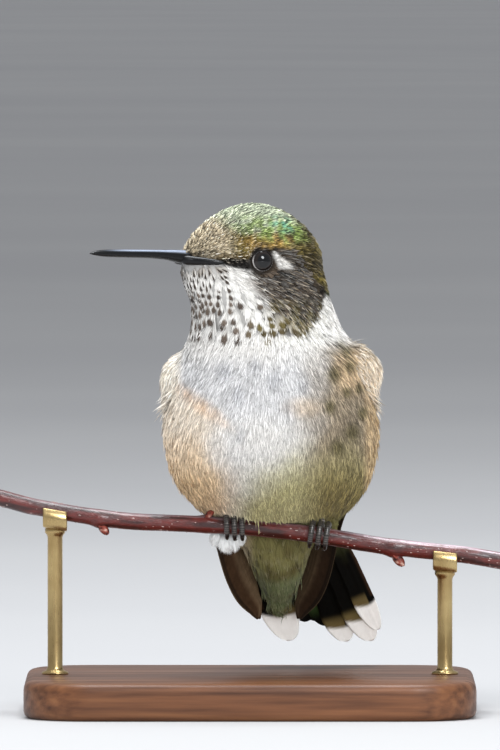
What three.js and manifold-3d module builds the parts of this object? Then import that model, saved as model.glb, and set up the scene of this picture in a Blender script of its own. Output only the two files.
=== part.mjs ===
// A life-size perched hummingbird, an immature male Ruby-throated Hummingbird, as a still model.
// It grips a cut length of red twig that two rods hold above a flat wooden base.
// Millimetres, +Z up. The bird faces -Y, its head turned to its own right, towards -X.
// The origin is the middle of the base's underside.

import * as THREE from "three";
import { mergeVertices } from "three/addons/utils/BufferGeometryUtils.js";
import Module from "manifold-3d";

const wasm = await Module();
wasm.setup();

const GAP = 0.3; // air between neighbouring pieces
const RING_SIDES = 30; // facets round the body
const { PI, sin, cos, sqrt, abs, max, min, pow, hypot } = Math;
const RAD = PI / 180;
const FINENESS = 0.09; // detail smaller than this is left out where pieces are cut

// ---------- driving sizes ----------

const HEAD = {
  x: 0.3, // middle of the skull, seen from above
  y: -3.0,
  turn: 53 * RAD, // from straight ahead towards the bird's right
  eyeLevel: 59.6, // height of the widest section
  crown: 68.0, // height of the crown
  domeLong: 0.62, // how blunt the crown is seen from the side
};

const BELLY_LINE = 24; // height where the belly ends and the undertail coverts begin

// Sections of neck, trunk and undertail coverts below the eyes, from above to below:
// height, middle (x, y), turn in degrees, reach to front and back, half width, front taper.
const SECTIONS = [
  [59.6, 0.3, -3.0, 53, 11.2, 9.6, 7.5, 0.25],
  [57.1, 0.7, -2.9, 52, 11.0, 9.8, 7.9, 0.22],
  [54.6, 1.4, -2.6, 46, 10.6, 9.5, 8.6, 0.14],
  [52.0, 2.0, -2.0, 35, 11.4, 10.1, 9.4, 0.06],
  [49.5, 2.3, -1.4, 22, 11.9, 11.2, 10.6, 0.02],
  [46.5, 2.5, -0.6, 10, 12.8, 11.9, 12.2, 0],
  [42.0, 2.7, 0.0, 0, 13.8, 12.9, 13.6, 0],
  [37.6, 2.8, 0.6, 0, 13.9, 14.0, 14.3, -0.04],
  [33.0, 2.9, 2.1, 0, 13.3, 13.7, 13.6, -0.12],
  [30.0, 3.0, 3.8, 0, 12.5, 12.5, 12.4, -0.18],
  [27.6, 3.2, 5.6, 0, 11.0, 11.0, 10.6, -0.22],
  [25.6, 3.3, 7.2, 0, 8.5, 9.3, 8.6, -0.22],
  [23.6, 3.4, 8.6, 0, 6.5, 7.4, 6.4, -0.15],
  [21.2, 3.6, 9.6, 0, 5.0, 5.6, 4.6, -0.05],
  [18.0, 3.8, 11.6, 0, 4.4, 4.4, 3.4, 0],
  [15.2, 4.0, 14.0, 0, 3.2, 3.2, 2.1, 0],
  [12.6, 4.0, 16.2, 0, 1.5, 1.7, 1.0, 0],
];

const EYE = { radius: 1.75, fore: 2.8, side: 5.2, height: 60.4 };
const BILL = {
  root: 9.6, // reach of its root from the middle of the skull
  tip: 26.9,
  height: 60.75,
  rise: 0.75, // from root to tip
  halfWidth: 1.25,
  top: 0.95, // depth of the upper jaw
  bottom: 0.85, // depth of the lower jaw
  slit: 0.1,
};

const TWIG = { halfLength: 38, radius: 1.12 };
// heights of the twig's axis, left end to right end
const TWIG_COURSE = [
  [-38, 29.2],
  [-28, 27.2],
  [-18, 25.6],
  [-8, 25.05],
  [0, 24.6],
  [8, 23.7],
  [18, 22.1],
  [28, 21.0],
  [38, 19.7],
];

// Buds and stubs: place along the twig, angle round it, length and radius.
const BUDS = [
  { x: -20.0, angle: 250, length: 1.7, radius: 0.8 },
  { x: 19.2, angle: 262, length: 2.0, radius: 0.9 },
  { x: -5.9, angle: 112, length: 1.6, radius: 0.6 },
];

const FOOT = {
  rightX: -2.15, // middle toe's place along the twig
  leftX: 9.45,
  spread: 1.02, // between neighbouring toes
  toeRadius: 0.42,
  tarsusRadius: 0.45,
  clawRadius: 0.27,
};
const THIGH = { half: 2.2, deep: 1.7, high: 2.9, y: 3.6 };
const WING = { thickness: 0.7, proud: 0.15, inner: 5.6, splay: 0.16, pivot: 38 };
// Edges of the long feathers of the folded wing as [height, distance from the middle, y].
const LEADING = [
  [31, 12.2, 4.9],
  [29, 11.1, 6.2],
  [26, 9.5, 8.2],
  [23, 8.5, 9.9],
  [20, 7.8, 11.6],
  [17, 6.8, 13.4],
  [14, 5.0, 15.3],
  [11.4, 2.7, 16.8],
];
const TRAILING = [
  [31, 8.8, 10.6],
  [29, 7.6, 12.2],
  [26, 6.0, 12.4],
  [23, 4.6, 12.2],
  [20, 4.0, 13.2],
  [17, 3.2, 14.6],
  [14, 2.0, 16.2],
  [11.2, 1.6, 17.0],
];

// Where the wing lies on the body, as outlines seen from the side: [y, z].
const WING_AREA = [
  [-2.6, 44.6], [0.2, 39.2], [3.2, 34.4], [6.2, 30.2], [8.2, 27.2], [12.3, 27.2],
  [16.4, 31.0], [16.4, 37.0], [14.6, 42.5], [10.4, 47.2], [4.0, 49.4],
];
const WING_PARTS = {
  coverts: [[-2.6, 44.6], [0.2, 39.2], [7.2, 38.4], [16.4, 38.6], [14.6, 42.5], [10.4, 47.2], [4.0, 49.4]],
  secondaries: [[7.2, 38.4], [10.2, 31.0], [12.8, 27.7], [16.4, 31.0], [16.4, 38.6]],
  primaries: [[0.2, 39.2], [3.2, 34.4], [6.2, 30.2], [8.2, 27.2], [12.3, 27.2], [10.2, 31.0], [7.2, 38.4]],
};

const SHOULDER = { out: 12.5, y: 0.2, z: 44.9, thick: 2.1, long: 5.2, high: 4.3, lean: 0.46 };
const TAIL = {
  baseX: 5.4,
  baseY: 11.2,
  baseZ: 30.8,
  tipX: 9.9, // the middle of the fan points this way
  tipY: 22.2,
  tipZ: 9.6,
  thickness: 0.5,
  pitch: 0.6, // from one layer of feathers to the next
};
const QUILL_SPACING = 0.53; // between neighbouring quills where they leave the body
// Each feather's swing from the middle of the fan in degrees, its length and its greatest width,
// from the middle pair to the outer pair. The fan is spread more to the bird's left.
const TAIL_LEFT = { swing: [-1.3, 0.2, 2.4, 6.8, 12.2], length: [22.6, 23.4, 25.6, 26.0, 23.8] };
const TAIL_RIGHT = { swing: [-2.2, -3.2, -4.6, -6.2, -8.0], length: [22.6, 23.2, 23.8, 24.0, 24.2] };
const TAIL_WIDTH = [4.8, 4.7, 4.5, 4.3, 3.9];
// The hollow the fan lies in: distance along it, reach to the bird's right and to its left.
const TAIL_ROOM = [
  [-GAP, 3.6, 3.6],
  [8, 5.4, 5.8],
  [14, 6.9, 7.8],
  [26, 8.6, 10.8],
];

const BASE = { length: 60, depth: 48, thickness: 5, corner: 9, bevel: 0.8 };
const ROD = { x: 26, radius: 1.0 };
const SADDLE = { width: 3.2, depth: 4.4, height: 2.4 };

// ---------- finishes ----------

const finish = (color, roughness, metalness = 0) =>
  new THREE.MeshStandardMaterial({ color, roughness, metalness });
const FINISH = {
  crown: finish(0x6f7a45, 0.7),
  white: finish(0xe6e2da, 0.85),
  buff: finish(0xc4aa86, 0.85),
  back: finish(0x5c6f3c, 0.65),
  covert: finish(0x8d9076, 0.85),
  wing: finish(0x4a4038, 0.7),
  tail: finish(0x22221f, 0.6),
  bill: finish(0x1d1f24, 0.35),
  eye: finish(0x0b0a0a, 0.05),
  foot: finish(0x262320, 0.6),
  claw: finish(0x151312, 0.4),
  bark: finish(0x6e2a24, 0.55),
  bud: finish(0x9a5a44, 0.7),
  wood: finish(0x4a3020, 0.5),
  brass: finish(0xb08d4a, 0.3, 1),
};

// ---------- general shaping ----------

const v3 = (x, y, z) => new THREE.Vector3(x, y, z);

// A smooth curve through knots [t, value], flat past its ends.
function smoothCurve(knots) {
  const slope = (i) => {
    if (i === 0 || i === knots.length - 1) return 0;
    return (knots[i + 1][1] - knots[i - 1][1]) / (knots[i + 1][0] - knots[i - 1][0]);
  };
  return (t) => {
    if ((t - knots[0][0]) * (t - knots.at(-1)[0]) >= 0) {
      return abs(t - knots[0][0]) < abs(t - knots.at(-1)[0]) ? knots[0][1] : knots.at(-1)[1];
    }
    const up = knots.at(-1)[0] > knots[0][0];
    const i = knots.findIndex((knot, n) => n > 0 && (up ? t <= knot[0] : t >= knot[0])) - 1;
    const span = knots[i + 1][0] - knots[i][0];
    const s = (t - knots[i][0]) / span;
    const s2 = s * s;
    const s3 = s2 * s;
    return (
      (2 * s3 - 3 * s2 + 1) * knots[i][1] +
      (s3 - 2 * s2 + s) * span * slope(i) +
      (3 * s2 - 2 * s3) * knots[i + 1][1] +
      (s3 - s2) * span * slope(i + 1)
    );
  };
}

// A closed body through rings of points, each ring with as many points; a ring of one is a pole.
function loft(rings) {
  const points = [];
  const faces = [];
  const starts = rings.map((ring) => {
    const start = points.length;
    points.push(...ring);
    return start;
  });
  const fan = (centre, start, count, flip) => {
    for (let k = 0; k < count; k++) {
      const a = start + k;
      const b = start + ((k + 1) % count);
      faces.push(flip ? [centre, b, a] : [centre, a, b]);
    }
  };
  for (let i = 0; i + 1 < rings.length; i++) {
    const [low, high] = [rings[i], rings[i + 1]];
    if (low.length === 1) {
      fan(starts[i], starts[i + 1], high.length, true);
    } else if (high.length === 1) {
      fan(starts[i + 1], starts[i], low.length, false);
    } else {
      for (let k = 0; k < low.length; k++) {
        const n = (k + 1) % low.length;
        const [a, b, c, d] = [starts[i] + k, starts[i] + n, starts[i + 1] + n, starts[i + 1] + k];
        faces.push([a, b, c], [a, c, d]);
      }
    }
  }
  const cap = (ring, start, flip) => {
    if (ring.length === 1) return;
    const middle = ring.reduce((sum, p) => sum.add(p), v3(0, 0, 0)).divideScalar(ring.length);
    points.push(middle);
    fan(points.length - 1, start, ring.length, flip);
  };
  cap(rings[0], starts[0], true);
  cap(rings.at(-1), starts.at(-1), false);
  const geometry = new THREE.BufferGeometry();
  const numbers = points.flatMap((p) => [p.x, p.y, p.z]);
  geometry.setAttribute("position", new THREE.Float32BufferAttribute(numbers, 3));
  geometry.setIndex(faces.flat());
  return outward(geometry);
}

// The same geometry with its faces turned so that it holds a positive volume.
function outward(geometry) {
  const p = geometry.attributes.position;
  const index = geometry.index.array;
  let volume = 0;
  const corner = (i) => v3().fromBufferAttribute(p, index[i]);
  for (let i = 0; i < index.length; i += 3) {
    volume += corner(i).dot(corner(i + 1).cross(corner(i + 2)));
  }
  if (volume < 0) {
    for (let i = 0; i < index.length; i += 3) {
      [index[i + 1], index[i + 2]] = [index[i + 2], index[i + 1]];
    }
  }
  return geometry;
}

// A round body along a path of points, with a radius at each point and domed or flat ends.
function limb(path, radii, sides = 8) {
  const rings = path.map((point, i) => {
    const ahead = path[min(i + 1, path.length - 1)].clone().sub(path[max(i - 1, 0)]).normalize();
    const across = v3(1, 0, 0).sub(ahead.clone().multiplyScalar(ahead.x)).normalize();
    if (abs(ahead.x) > 0.9) across.set(0, 1, 0).sub(ahead.clone().multiplyScalar(ahead.y)).normalize();
    const up = ahead.clone().cross(across);
    if (radii[i] === 0) return [point.clone()];
    return Array.from({ length: sides }, (_, k) => {
      const angle = (2 * PI * (k + 0.5)) / sides;
      return point
        .clone()
        .addScaledVector(across, radii[i] * cos(angle))
        .addScaledVector(up, radii[i] * sin(angle));
    });
  });
  return loft(rings);
}

function toSolid(geometry) {
  const plain = geometry.clone();
  for (const name of ["normal", "uv"]) plain.deleteAttribute(name);
  const merged = mergeVertices(plain, 1e-4);
  return new wasm.Manifold(
    new wasm.Mesh({
      numProp: 3,
      vertProperties: Float32Array.from(merged.attributes.position.array),
      triVerts: Uint32Array.from(merged.index.array),
    }),
  );
}

// The largest piece of a solid as geometry, with detail finer than FINENESS gone.
function toGeometry(solid) {
  const whole = solid.decompose().reduce((a, b) => (a.volume() > b.volume() ? a : b));
  const mesh = whole.simplify(FINENESS).getMesh();
  const geometry = new THREE.BufferGeometry();
  geometry.setAttribute("position", new THREE.Float32BufferAttribute(mesh.vertProperties, 3));
  geometry.setIndex(Array.from(mesh.triVerts));
  return geometry;
}

const cut = (solid, ...cutters) => cutters.reduce((left, cutter) => left.subtract(cutter), solid);

// The block on one side of a plane, half a gap away from it.
function halfSpace(point, normal, side) {
  const size = 200;
  const block = new THREE.BoxGeometry(size, size, size);
  block.translate(0, 0, (side * (size + GAP)) / 2);
  const turn = new THREE.Quaternion().setFromUnitVectors(v3(0, 0, 1), normal.clone().normalize());
  block.applyQuaternion(turn);
  block.translate(point.x, point.y, point.z);
  return toSolid(block);
}

const group = new THREE.Group();

function add(name, geometry, material) {
  const mesh = new THREE.Mesh(geometry, material);
  mesh.name = name;
  group.add(mesh);
  return mesh;
}

// ---------- the head's own frame ----------

const AHEAD = v3(-sin(HEAD.turn), -cos(HEAD.turn), 0);
const LEFTWARD = v3(cos(HEAD.turn), -sin(HEAD.turn), 0);

// A place on the head: reach towards the bill, to the bird's left, and height.
const onHead = (fore, left, height) =>
  v3(HEAD.x, HEAD.y, height).addScaledVector(AHEAD, fore).addScaledVector(LEFTWARD, left);

// ---------- body ----------

const column = (n) => smoothCurve(SECTIONS.map((section) => [section[0], section[n]]));
const [MID_X, MID_Y, TURN, FORE, AFT, HALF, TAPER] = [1, 2, 3, 4, 5, 6, 7].map(column);

function bodyRing(z, swell = 0) {
  const dome = max(0, (z - HEAD.eyeLevel) / (HEAD.crown - HEAD.eyeLevel));
  const long = pow(1 - dome * dome, HEAD.domeLong);
  const wide = sqrt(1 - dome * dome);
  const turn = TURN(z) * RAD;
  const taper = TAPER(z);
  return Array.from({ length: RING_SIDES }, (_, k) => {
    const angle = (2 * PI * k) / RING_SIDES;
    const reach = (cos(angle) > 0 ? FORE(z) : AFT(z)) * long + swell;
    const ahead = reach * cos(angle);
    const left = (HALF(z) * wide + swell) * sin(angle) * (1 - taper * cos(angle));
    return v3(
      MID_X(z) - sin(turn) * ahead + cos(turn) * left,
      MID_Y(z) - cos(turn) * ahead - sin(turn) * left,
      z,
    );
  });
}

// The whole feathered body, or the same body swollen or shrunk all round.
function bodySolid(swell = 0) {
  const low = SECTIONS.at(-1)[0];
  const rings = [[v3(MID_X(low), MID_Y(low) + 0.6, low - 0.9)]];
  const level = (from, to, steps, bend = (t) => t) => {
    for (let i = 0; i < steps; i++) rings.push(bodyRing(from + (to - from) * bend(i / steps), swell));
  };
  level(low, BELLY_LINE, 5);
  level(BELLY_LINE, HEAD.eyeLevel, 13);
  level(HEAD.eyeLevel, HEAD.crown, 6, (t) => sin((t * PI) / 2));
  rings.push([v3(HEAD.x, HEAD.y, HEAD.crown)]);
  return toSolid(loft(rings));
}

// ---------- eyes and bill ----------

function eyeball(side, swell = 0) {
  const ball = new THREE.SphereGeometry(EYE.radius + swell, 11, 7);
  const place = onHead(EYE.fore, side * EYE.side, EYE.height);
  ball.translate(place.x, place.y, place.z);
  return ball;
}

// One jaw of the bill, from its root in the face to the tip: a half oval lofted and narrowed.
function jaw(side) {
  const steps = 9;
  const sides = 6;
  const rings = [];
  for (let i = 0; i <= steps; i++) {
    const t = i / steps;
    const out = BILL.root + (BILL.tip - BILL.root) * t;
    const slim = (1 - 0.62 * pow(t, 0.7)) * (t > 0.93 ? sqrt(max(0, 1 - pow((t - 0.93) / 0.074, 2))) : 1);
    const wide = BILL.halfWidth * slim;
    const deep = (side > 0 ? BILL.top : BILL.bottom) * slim;
    const level = BILL.height + BILL.rise * t + (side * BILL.slit) / 2;
    const ring = [];
    for (let k = 0; k <= sides; k++) {
      const angle = (PI * k) / sides;
      ring.push(onHead(out, wide * cos(angle), level + side * deep * sin(angle)));
    }
    rings.push(ring);
  }
  return loft(rings);
}

// The hole in the face that the bill's root fills.
function billRoom() {
  const [wide, high] = [BILL.halfWidth + GAP, (BILL.top + BILL.bottom + BILL.slit) / 2 + GAP];
  const slice = (out) =>
    Array.from({ length: 8 }, (_, k) => {
      const angle = ((k + 0.5) * PI) / 4;
      const grow = 1 / cos(PI / 8);
      const middle = BILL.height + (BILL.top - BILL.bottom) / 2;
      return onHead(out, wide * grow * cos(angle), middle + high * grow * sin(angle));
    });
  return loft([slice(BILL.root - GAP), slice(BILL.root + 4)]);
}

// ---------- wings ----------

// The middle of the body leans a little to the bird's left from shoulders to tail.
const midX = (z) => 2.9 + (44 - z) * 0.03;

function wingEdge(knots, side) {
  return new THREE.CatmullRomCurve3(knots.map(([z, out, y]) => v3(midX(z) + side * out, y, z)));
}

// The long feathers from the flank to the wing tip, one thin bent blade.
function wingBlade(side, swell = 0) {
  const leading = wingEdge(LEADING, side);
  const trailing = wingEdge(TRAILING, side);
  const steps = 9;
  const spans = 3;
  const half = WING.thickness / 2 + swell;
  const rings = [];
  for (let i = 0; i <= steps; i++) {
    const along = i / steps;
    const [a, b] = [leading.getPoint(along), trailing.getPoint(along)];
    const chord = b.clone().sub(a);
    const out = chord.clone().cross(leading.getTangent(along)).multiplyScalar(side).normalize();
    const bulge = 0.14 * chord.length() * min(1, 2.5 * along);
    const edge = swell / chord.length();
    const place = (across, depth) => {
      const rise = 4 * across * (1 - across) * bulge;
      return a.clone().addScaledVector(chord, across).addScaledVector(out, rise + depth);
    };
    const crossing = Array.from({ length: spans + 1 }, (_, k) => -edge + ((1 + 2 * edge) * k) / spans);
    rings.push([...crossing.map((t) => place(t, half)), ...crossing.reverse().map((t) => place(t, -half))]);
  }
  return loft(rings);
}

// A block right through one side of the body over an outline seen from the side.
function sideBlock(outline, side, inset) {
  const total = outline.reduce((sum, [y, z]) => [sum[0] + y, sum[1] + z], [0, 0]);
  const middle = total.map((t) => t / outline.length);
  const size = hypot(outline[0][0] - middle[0], outline[0][1] - middle[1]);
  const grow = 1 - inset / size;
  const moved = outline.map(([y, z]) => new THREE.Vector2(
    middle[0] + (y - middle[0]) * grow,
    middle[1] + (z - middle[1]) * grow,
  ));
  const width = 20;
  const block = new THREE.ExtrudeGeometry(new THREE.Shape(moved), { depth: width, bevelEnabled: false });
  block.rotateY(PI / 2).rotateX(PI / 2);
  const near = side * (WING.inner + inset);
  block.translate(side > 0 ? near : near - width, 0, -WING.pivot);
  block.rotateY(side * WING.splay);
  block.translate(midX(WING.pivot), 0, WING.pivot);
  return toSolid(block);
}

// The wing bend with its short coverts: a flattened egg on the side of the breast.
function shoulder(side, swell = 0) {
  const egg = new THREE.SphereGeometry(1, 11, 8);
  egg.scale(SHOULDER.thick + swell, SHOULDER.long + swell, SHOULDER.high + swell);
  egg.rotateX(-0.5);
  egg.rotateY(-side * SHOULDER.lean);
  egg.translate(midX(SHOULDER.z) + side * SHOULDER.out, SHOULDER.y, SHOULDER.z);
  return egg;
}

// ---------- tail ----------

const tailRoot = v3(TAIL.baseX, TAIL.baseY, TAIL.baseZ);
const tailAxis = v3(TAIL.tipX, TAIL.tipY, TAIL.tipZ).sub(tailRoot).normalize();
const tailSide = v3(1, 0, 0).addScaledVector(tailAxis, -tailAxis.x).normalize();
const tailDown = tailSide.clone().cross(tailAxis).normalize(); // towards the bird's underside
if (tailDown.y > 0) tailDown.negate();

// A flat feather: half width along its length, narrow quill, broad vane, rounded tip.
function vaneWidth(t, width) {
  const swell = 0.3 + 0.7 * pow(min(1, t / 0.55), 1.2);
  const tip = t > 0.78 ? sqrt(max(0.0, 1 - pow((t - 0.78) / 0.222, 2))) : 1;
  return (width / 2) * swell * max(tip, 0.12);
}

function tailFeather(side, pair, swell = 0) {
  const set = side > 0 ? TAIL_LEFT : TAIL_RIGHT;
  const swing = set.swing[pair - 1] * RAD;
  const length = set.length[pair - 1];
  const ahead = tailAxis.clone().multiplyScalar(cos(swing)).addScaledVector(tailSide, sin(swing));
  const across = tailSide.clone().multiplyScalar(cos(swing)).addScaledVector(tailAxis, -sin(swing));
  const lift = (pair - 3) * TAIL.pitch;
  const root = tailRoot
    .clone()
    .addScaledVector(tailSide, side * QUILL_SPACING * (pair - 0.5))
    .addScaledVector(tailDown, lift);
  const steps = 9;
  const thick = TAIL.thickness / 2 + swell;
  const rings = [];
  for (let i = 0; i <= steps; i++) {
    const t = i / steps;
    const half = vaneWidth(t, TAIL_WIDTH[pair - 1]) + swell;
    const along = length * t + (i === 0 ? -swell : 0) + (i === steps ? swell : 0);
    const centre = root.clone().addScaledVector(ahead, along);
    rings.push(
      [
        [-half, -thick],
        [-half, thick],
        [half, thick],
        [half, -thick],
      ].map(([w, h]) => centre.clone().addScaledVector(across, w).addScaledVector(tailDown, h)),
    );
  }
  return loft(rings);
}

// Room for the whole fan in body and wings.
function tailRoom() {
  const deep = 2 * TAIL.pitch + TAIL.thickness / 2 + GAP;
  const corner = (along, side, down) =>
    tailRoot
      .clone()
      .addScaledVector(tailAxis, along)
      .addScaledVector(tailSide, side)
      .addScaledVector(tailDown, down);
  const slice = (along, right, left) => [
    corner(along, -right, -deep),
    corner(along, left, -deep),
    corner(along, left, deep),
    corner(along, -right, deep),
  ];
  return loft(TAIL_ROOM.map((sizes) => slice(...sizes)));
}

// ---------- twig and feet ----------

const twigHeight = smoothCurve(TWIG_COURSE);

function twig(swell = 0) {
  const steps = 17;
  const path = [];
  for (let i = 0; i <= steps; i++) {
    const x = TWIG.halfLength * ((2 * i) / steps - 1);
    path.push(v3(x, 0, twigHeight(x)));
  }
  return limb(path, path.map(() => TWIG.radius + swell), 8);
}

// A point beside the twig: angle 0 is behind it, 90 above it, 180 in front.
function roundTwig(x, angle, distance) {
  return v3(x, distance * cos(angle * RAD), twigHeight(x) + distance * sin(angle * RAD));
}

// A bud or knuckle on the bark, pointing away from the twig and a little along it.
function bud({ x, angle, length, radius }, swell = 0) {
  const start = roundTwig(x, angle, TWIG.radius + GAP - swell);
  const lean = v3(0.66, 0.75 * cos(angle * RAD), 0.75 * sin(angle * RAD));
  const shape = [0.7, 1, 0.8, 0];
  const step = (length + 2 * swell) / (shape.length - 1);
  const path = shape.map((_, i) => start.clone().addScaledVector(lean, step * i));
  return limb(path, shape.map((r) => r * (radius + swell)), 8);
}

const TOE_REACH = TWIG.radius + GAP + FOOT.toeRadius + 0.05;

// A toe wraps the twig from start to end degrees at x, drifting sideways by drift.
function toe(x, drift, start, end) {
  const steps = 5;
  const path = [];
  const radii = [];
  for (let i = 0; i <= steps; i++) {
    const t = i / steps;
    path.push(roundTwig(x + drift * t, start + (end - start) * t, TOE_REACH));
    radii.push(FOOT.toeRadius * (1 - 0.25 * t));
  }
  return limb(path, radii, 6);
}

function claw(x, drift, start, end) {
  const turn = Math.sign(end - start);
  const steps = 3;
  const path = [];
  const radii = [];
  for (let i = 0; i <= steps; i++) {
    const t = i / steps;
    path.push(roundTwig(x + drift * (1 + 0.3 * t), end + turn * (11 + 42 * t), TOE_REACH + 0.5 * t));
    radii.push(i === steps ? 0 : FOOT.clawRadius * (1 - 0.72 * t));
  }
  return limb(path, radii, 5);
}

function footPieces(name, x, drift) {
  const front = [-FOOT.spread, 0, FOOT.spread];
  front.forEach((offset, i) => {
    add(`toe_${name}_${i + 2}`, toe(x + offset, drift, 104, 212 + 6 * (i % 2)), FINISH.foot);
    add(`claw_${name}_${i + 2}`, claw(x + offset, drift, 104, 212 + 6 * (i % 2)), FINISH.claw);
  });
  add(`toe_${name}_1`, toe(x + 0.1, 0.15, 62, -38), FINISH.foot);
  add(`claw_${name}_1`, claw(x + 0.1, 0.15, 62, -38), FINISH.claw);
}

// The bare lower leg, from the knuckle of the toes up and back into the belly feathers.
function tarsus(x, swell = 0) {
  const radius = FOOT.tarsusRadius + swell;
  const knuckle = roundTwig(x, 83, TOE_REACH + FOOT.toeRadius + FOOT.tarsusRadius + 0.2);
  const way = v3(0, 0.64, 0.77);
  const stops = [-2 * swell, 2.0, 4.0 + swell];
  const path = stops.map((distance) => knuckle.clone().addScaledVector(way, distance));
  return limb(path, [radius, radius * 0.95, radius * 1.15], 6);
}

// Room for a foot under the belly feathers: a drum round the twig.
function footRoom(x, drift) {
  const reach = TOE_REACH + FOOT.toeRadius + GAP;
  const wide = FOOT.spread + FOOT.toeRadius + GAP;
  const drum = new THREE.CylinderGeometry(reach, reach, 2 * wide + abs(drift), 12);
  drum.rotateZ(PI / 2);
  drum.translate(x + drift / 2, 0, twigHeight(x));
  return toSolid(drum);
}

// The downy trousers above each foot, seen behind and below the twig.
function thigh(x, height, swell = 0) {
  const egg = new THREE.SphereGeometry(1, 10, 7);
  egg.scale(THIGH.half + swell, THIGH.deep + swell, THIGH.high + swell);
  egg.rotateX(0.25);
  egg.translate(x, THIGH.y, twigHeight(x) + height);
  return egg;
}

// ---------- stand ----------

function stand() {
  const { length, depth, thickness, corner, bevel } = BASE;
  const [x, y] = [length / 2 - bevel, depth / 2 - bevel];
  const outline = new THREE.Shape();
  outline.moveTo(-x + corner, -y);
  outline.lineTo(x - corner, -y);
  outline.absarc(x - corner, -y + corner, corner, -PI / 2, 0);
  outline.lineTo(x, y - corner);
  outline.absarc(x - corner, y - corner, corner, 0, PI / 2);
  outline.lineTo(-x + corner, y);
  outline.absarc(-x + corner, y - corner, corner, PI / 2, PI);
  outline.lineTo(-x, -y + corner);
  outline.absarc(-x + corner, -y + corner, corner, PI, (3 * PI) / 2);
  const plate = new THREE.ExtrudeGeometry(outline, {
    depth: thickness - 2 * bevel,
    bevelThickness: bevel,
    bevelSize: bevel,
    bevelSegments: 1,
    curveSegments: 3,
  });
  plate.translate(0, 0, bevel);
  add("stand_base", plate, FINISH.wood);

  for (const [name, x] of [["right", -ROD.x], ["left", ROD.x]]) {
    const seat = twigHeight(x) - TWIG.radius - GAP;
    const foot = thickness + GAP / 10;
    const top = seat - SADDLE.height / 2 - GAP;
    const rod = new THREE.CylinderGeometry(ROD.radius, ROD.radius, top - foot, 12);
    rod.rotateX(PI / 2);
    rod.translate(x, 0, (top + foot) / 2);
    add(`stand_rod_${name}`, rod, FINISH.brass);
    const block = new THREE.BoxGeometry(SADDLE.width, SADDLE.depth, SADDLE.height);
    block.translate(x, 0, top + GAP + SADDLE.height / 2);
    add(`stand_saddle_${name}`, toGeometry(cut(toSolid(block), toSolid(twig(GAP)))), FINISH.brass);
  }
}

// ---------- assembly ----------

function assemble() {
  const twigRoom = toSolid(twig(GAP));
  const feet = { right: [FOOT.rightX, 0.1], left: [FOOT.leftX, -0.45] };
  const thighs = { right: [FOOT.rightX - 1.0, 0.6], left: [FOOT.leftX + 0.4, 1.6] };
  const sides = { right: -1, left: 1 };

  const budRooms = BUDS.map((size) => toSolid(bud(size, GAP)));
  const fanRoom = toSolid(tailRoom());
  const outer = bodySolid(WING.proud);
  const inner = bodySolid(WING.proud - WING.thickness);
  const underWing = bodySolid(WING.proud - WING.thickness - GAP);
  let body = cut(bodySolid(), twigRoom, fanRoom, toSolid(billRoom()), ...budRooms);
  for (const [name, side] of Object.entries(sides)) {
    body = cut(
      body,
      toSolid(eyeball(side, GAP)),
      toSolid(shoulder(side, GAP)),
      cut(sideBlock(WING_AREA, side, -GAP), underWing),
      toSolid(wingBlade(side, GAP)),
      toSolid(thigh(...thighs[name], GAP)),
      toSolid(tarsus(feet[name][0], GAP)),
      footRoom(...feet[name]),
    );
  }

  // Planes of the thin cuts: across the throat, the neck's root, and along the trunk.
  const throat = [v3(1.4, 0, 55.2), v3(0, 0.1, 1)];
  const neckRoot = [v3(2, 0, 48.6), v3(0, 0.25, 1)];
  const flank = [v3(3, 2, 46), v3(0, 0.95, 0.42)];
  const waist = [v3(3, 0, 38.6), v3(0, -0.35, 1)];
  const vent = [v3(3, 6, 24.4), v3(0, -0.2, 1)];
  const above = (plane) => halfSpace(...plane, 1);
  const below = (plane) => halfSpace(...plane, -1);
  const keep = (name, material, ...blocks) => {
    const piece = blocks.reduce((solid, block) => solid.intersect(block), body);
    add(name, toGeometry(piece), material);
  };
  keep("head", FINISH.crown, above(throat));
  keep("neck", FINISH.white, below(throat), above(neckRoot));
  keep("breast", FINISH.white, below(neckRoot), below(flank), above(waist));
  keep("back", FINISH.back, below(neckRoot), above(flank), above(waist));
  keep("belly", FINISH.buff, below(neckRoot), below(flank), below(waist), above(vent));
  keep("rump", FINISH.back, below(neckRoot), above(flank), below(waist));
  keep("undertail_coverts", FINISH.covert, below(flank), below(vent));

  add("bill_upper", jaw(1), FINISH.bill);
  add("bill_lower", jaw(-1), FINISH.bill);

  for (const [name, side] of Object.entries(sides)) {
    add(`eye_${name}`, eyeball(side), FINISH.eye);
    add(`wing_${name}_shoulder`, shoulder(side), FINISH.back);
    const bend = toSolid(shoulder(side, GAP));
    const shell = cut(outer, inner, bend, fanRoom);
    for (const [part, outline] of Object.entries(WING_PARTS)) {
      let piece = shell.intersect(sideBlock(outline, side, GAP / 2));
      if (part === "primaries") piece = piece.add(cut(toSolid(wingBlade(side)), fanRoom, bend));
      if (part === "secondaries") piece = cut(piece, toSolid(wingBlade(side, GAP)));
      add(`wing_${name}_${part}`, toGeometry(piece), part === "coverts" ? FINISH.back : FINISH.wing);
    }
    const [x, drift] = feet[name];
    const trousers = cut(toSolid(thigh(...thighs[name])), twigRoom, footRoom(x, drift));
    add(`thigh_${name}`, toGeometry(trousers), FINISH.white);
    add(`tarsus_${name}`, tarsus(x), FINISH.foot);
    footPieces(name, x, drift);
  }

  // The right feather of each pair lies over the left one, which stops at its edge.
  for (let pair = 1; pair <= 5; pair++) {
    const left = cut(toSolid(tailFeather(1, pair)), toSolid(tailFeather(-1, pair, GAP)));
    add(`tail_left_${pair}`, toGeometry(left), FINISH.tail);
    add(`tail_right_${pair}`, tailFeather(-1, pair), FINISH.tail);
  }

  add("perch_twig", twig(), FINISH.bark);
  BUDS.forEach((size, i) => add(`twig_bud_${i + 1}`, bud(size), FINISH.bud));
  stand();
}

assemble();

export default group;
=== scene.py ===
import math

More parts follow.
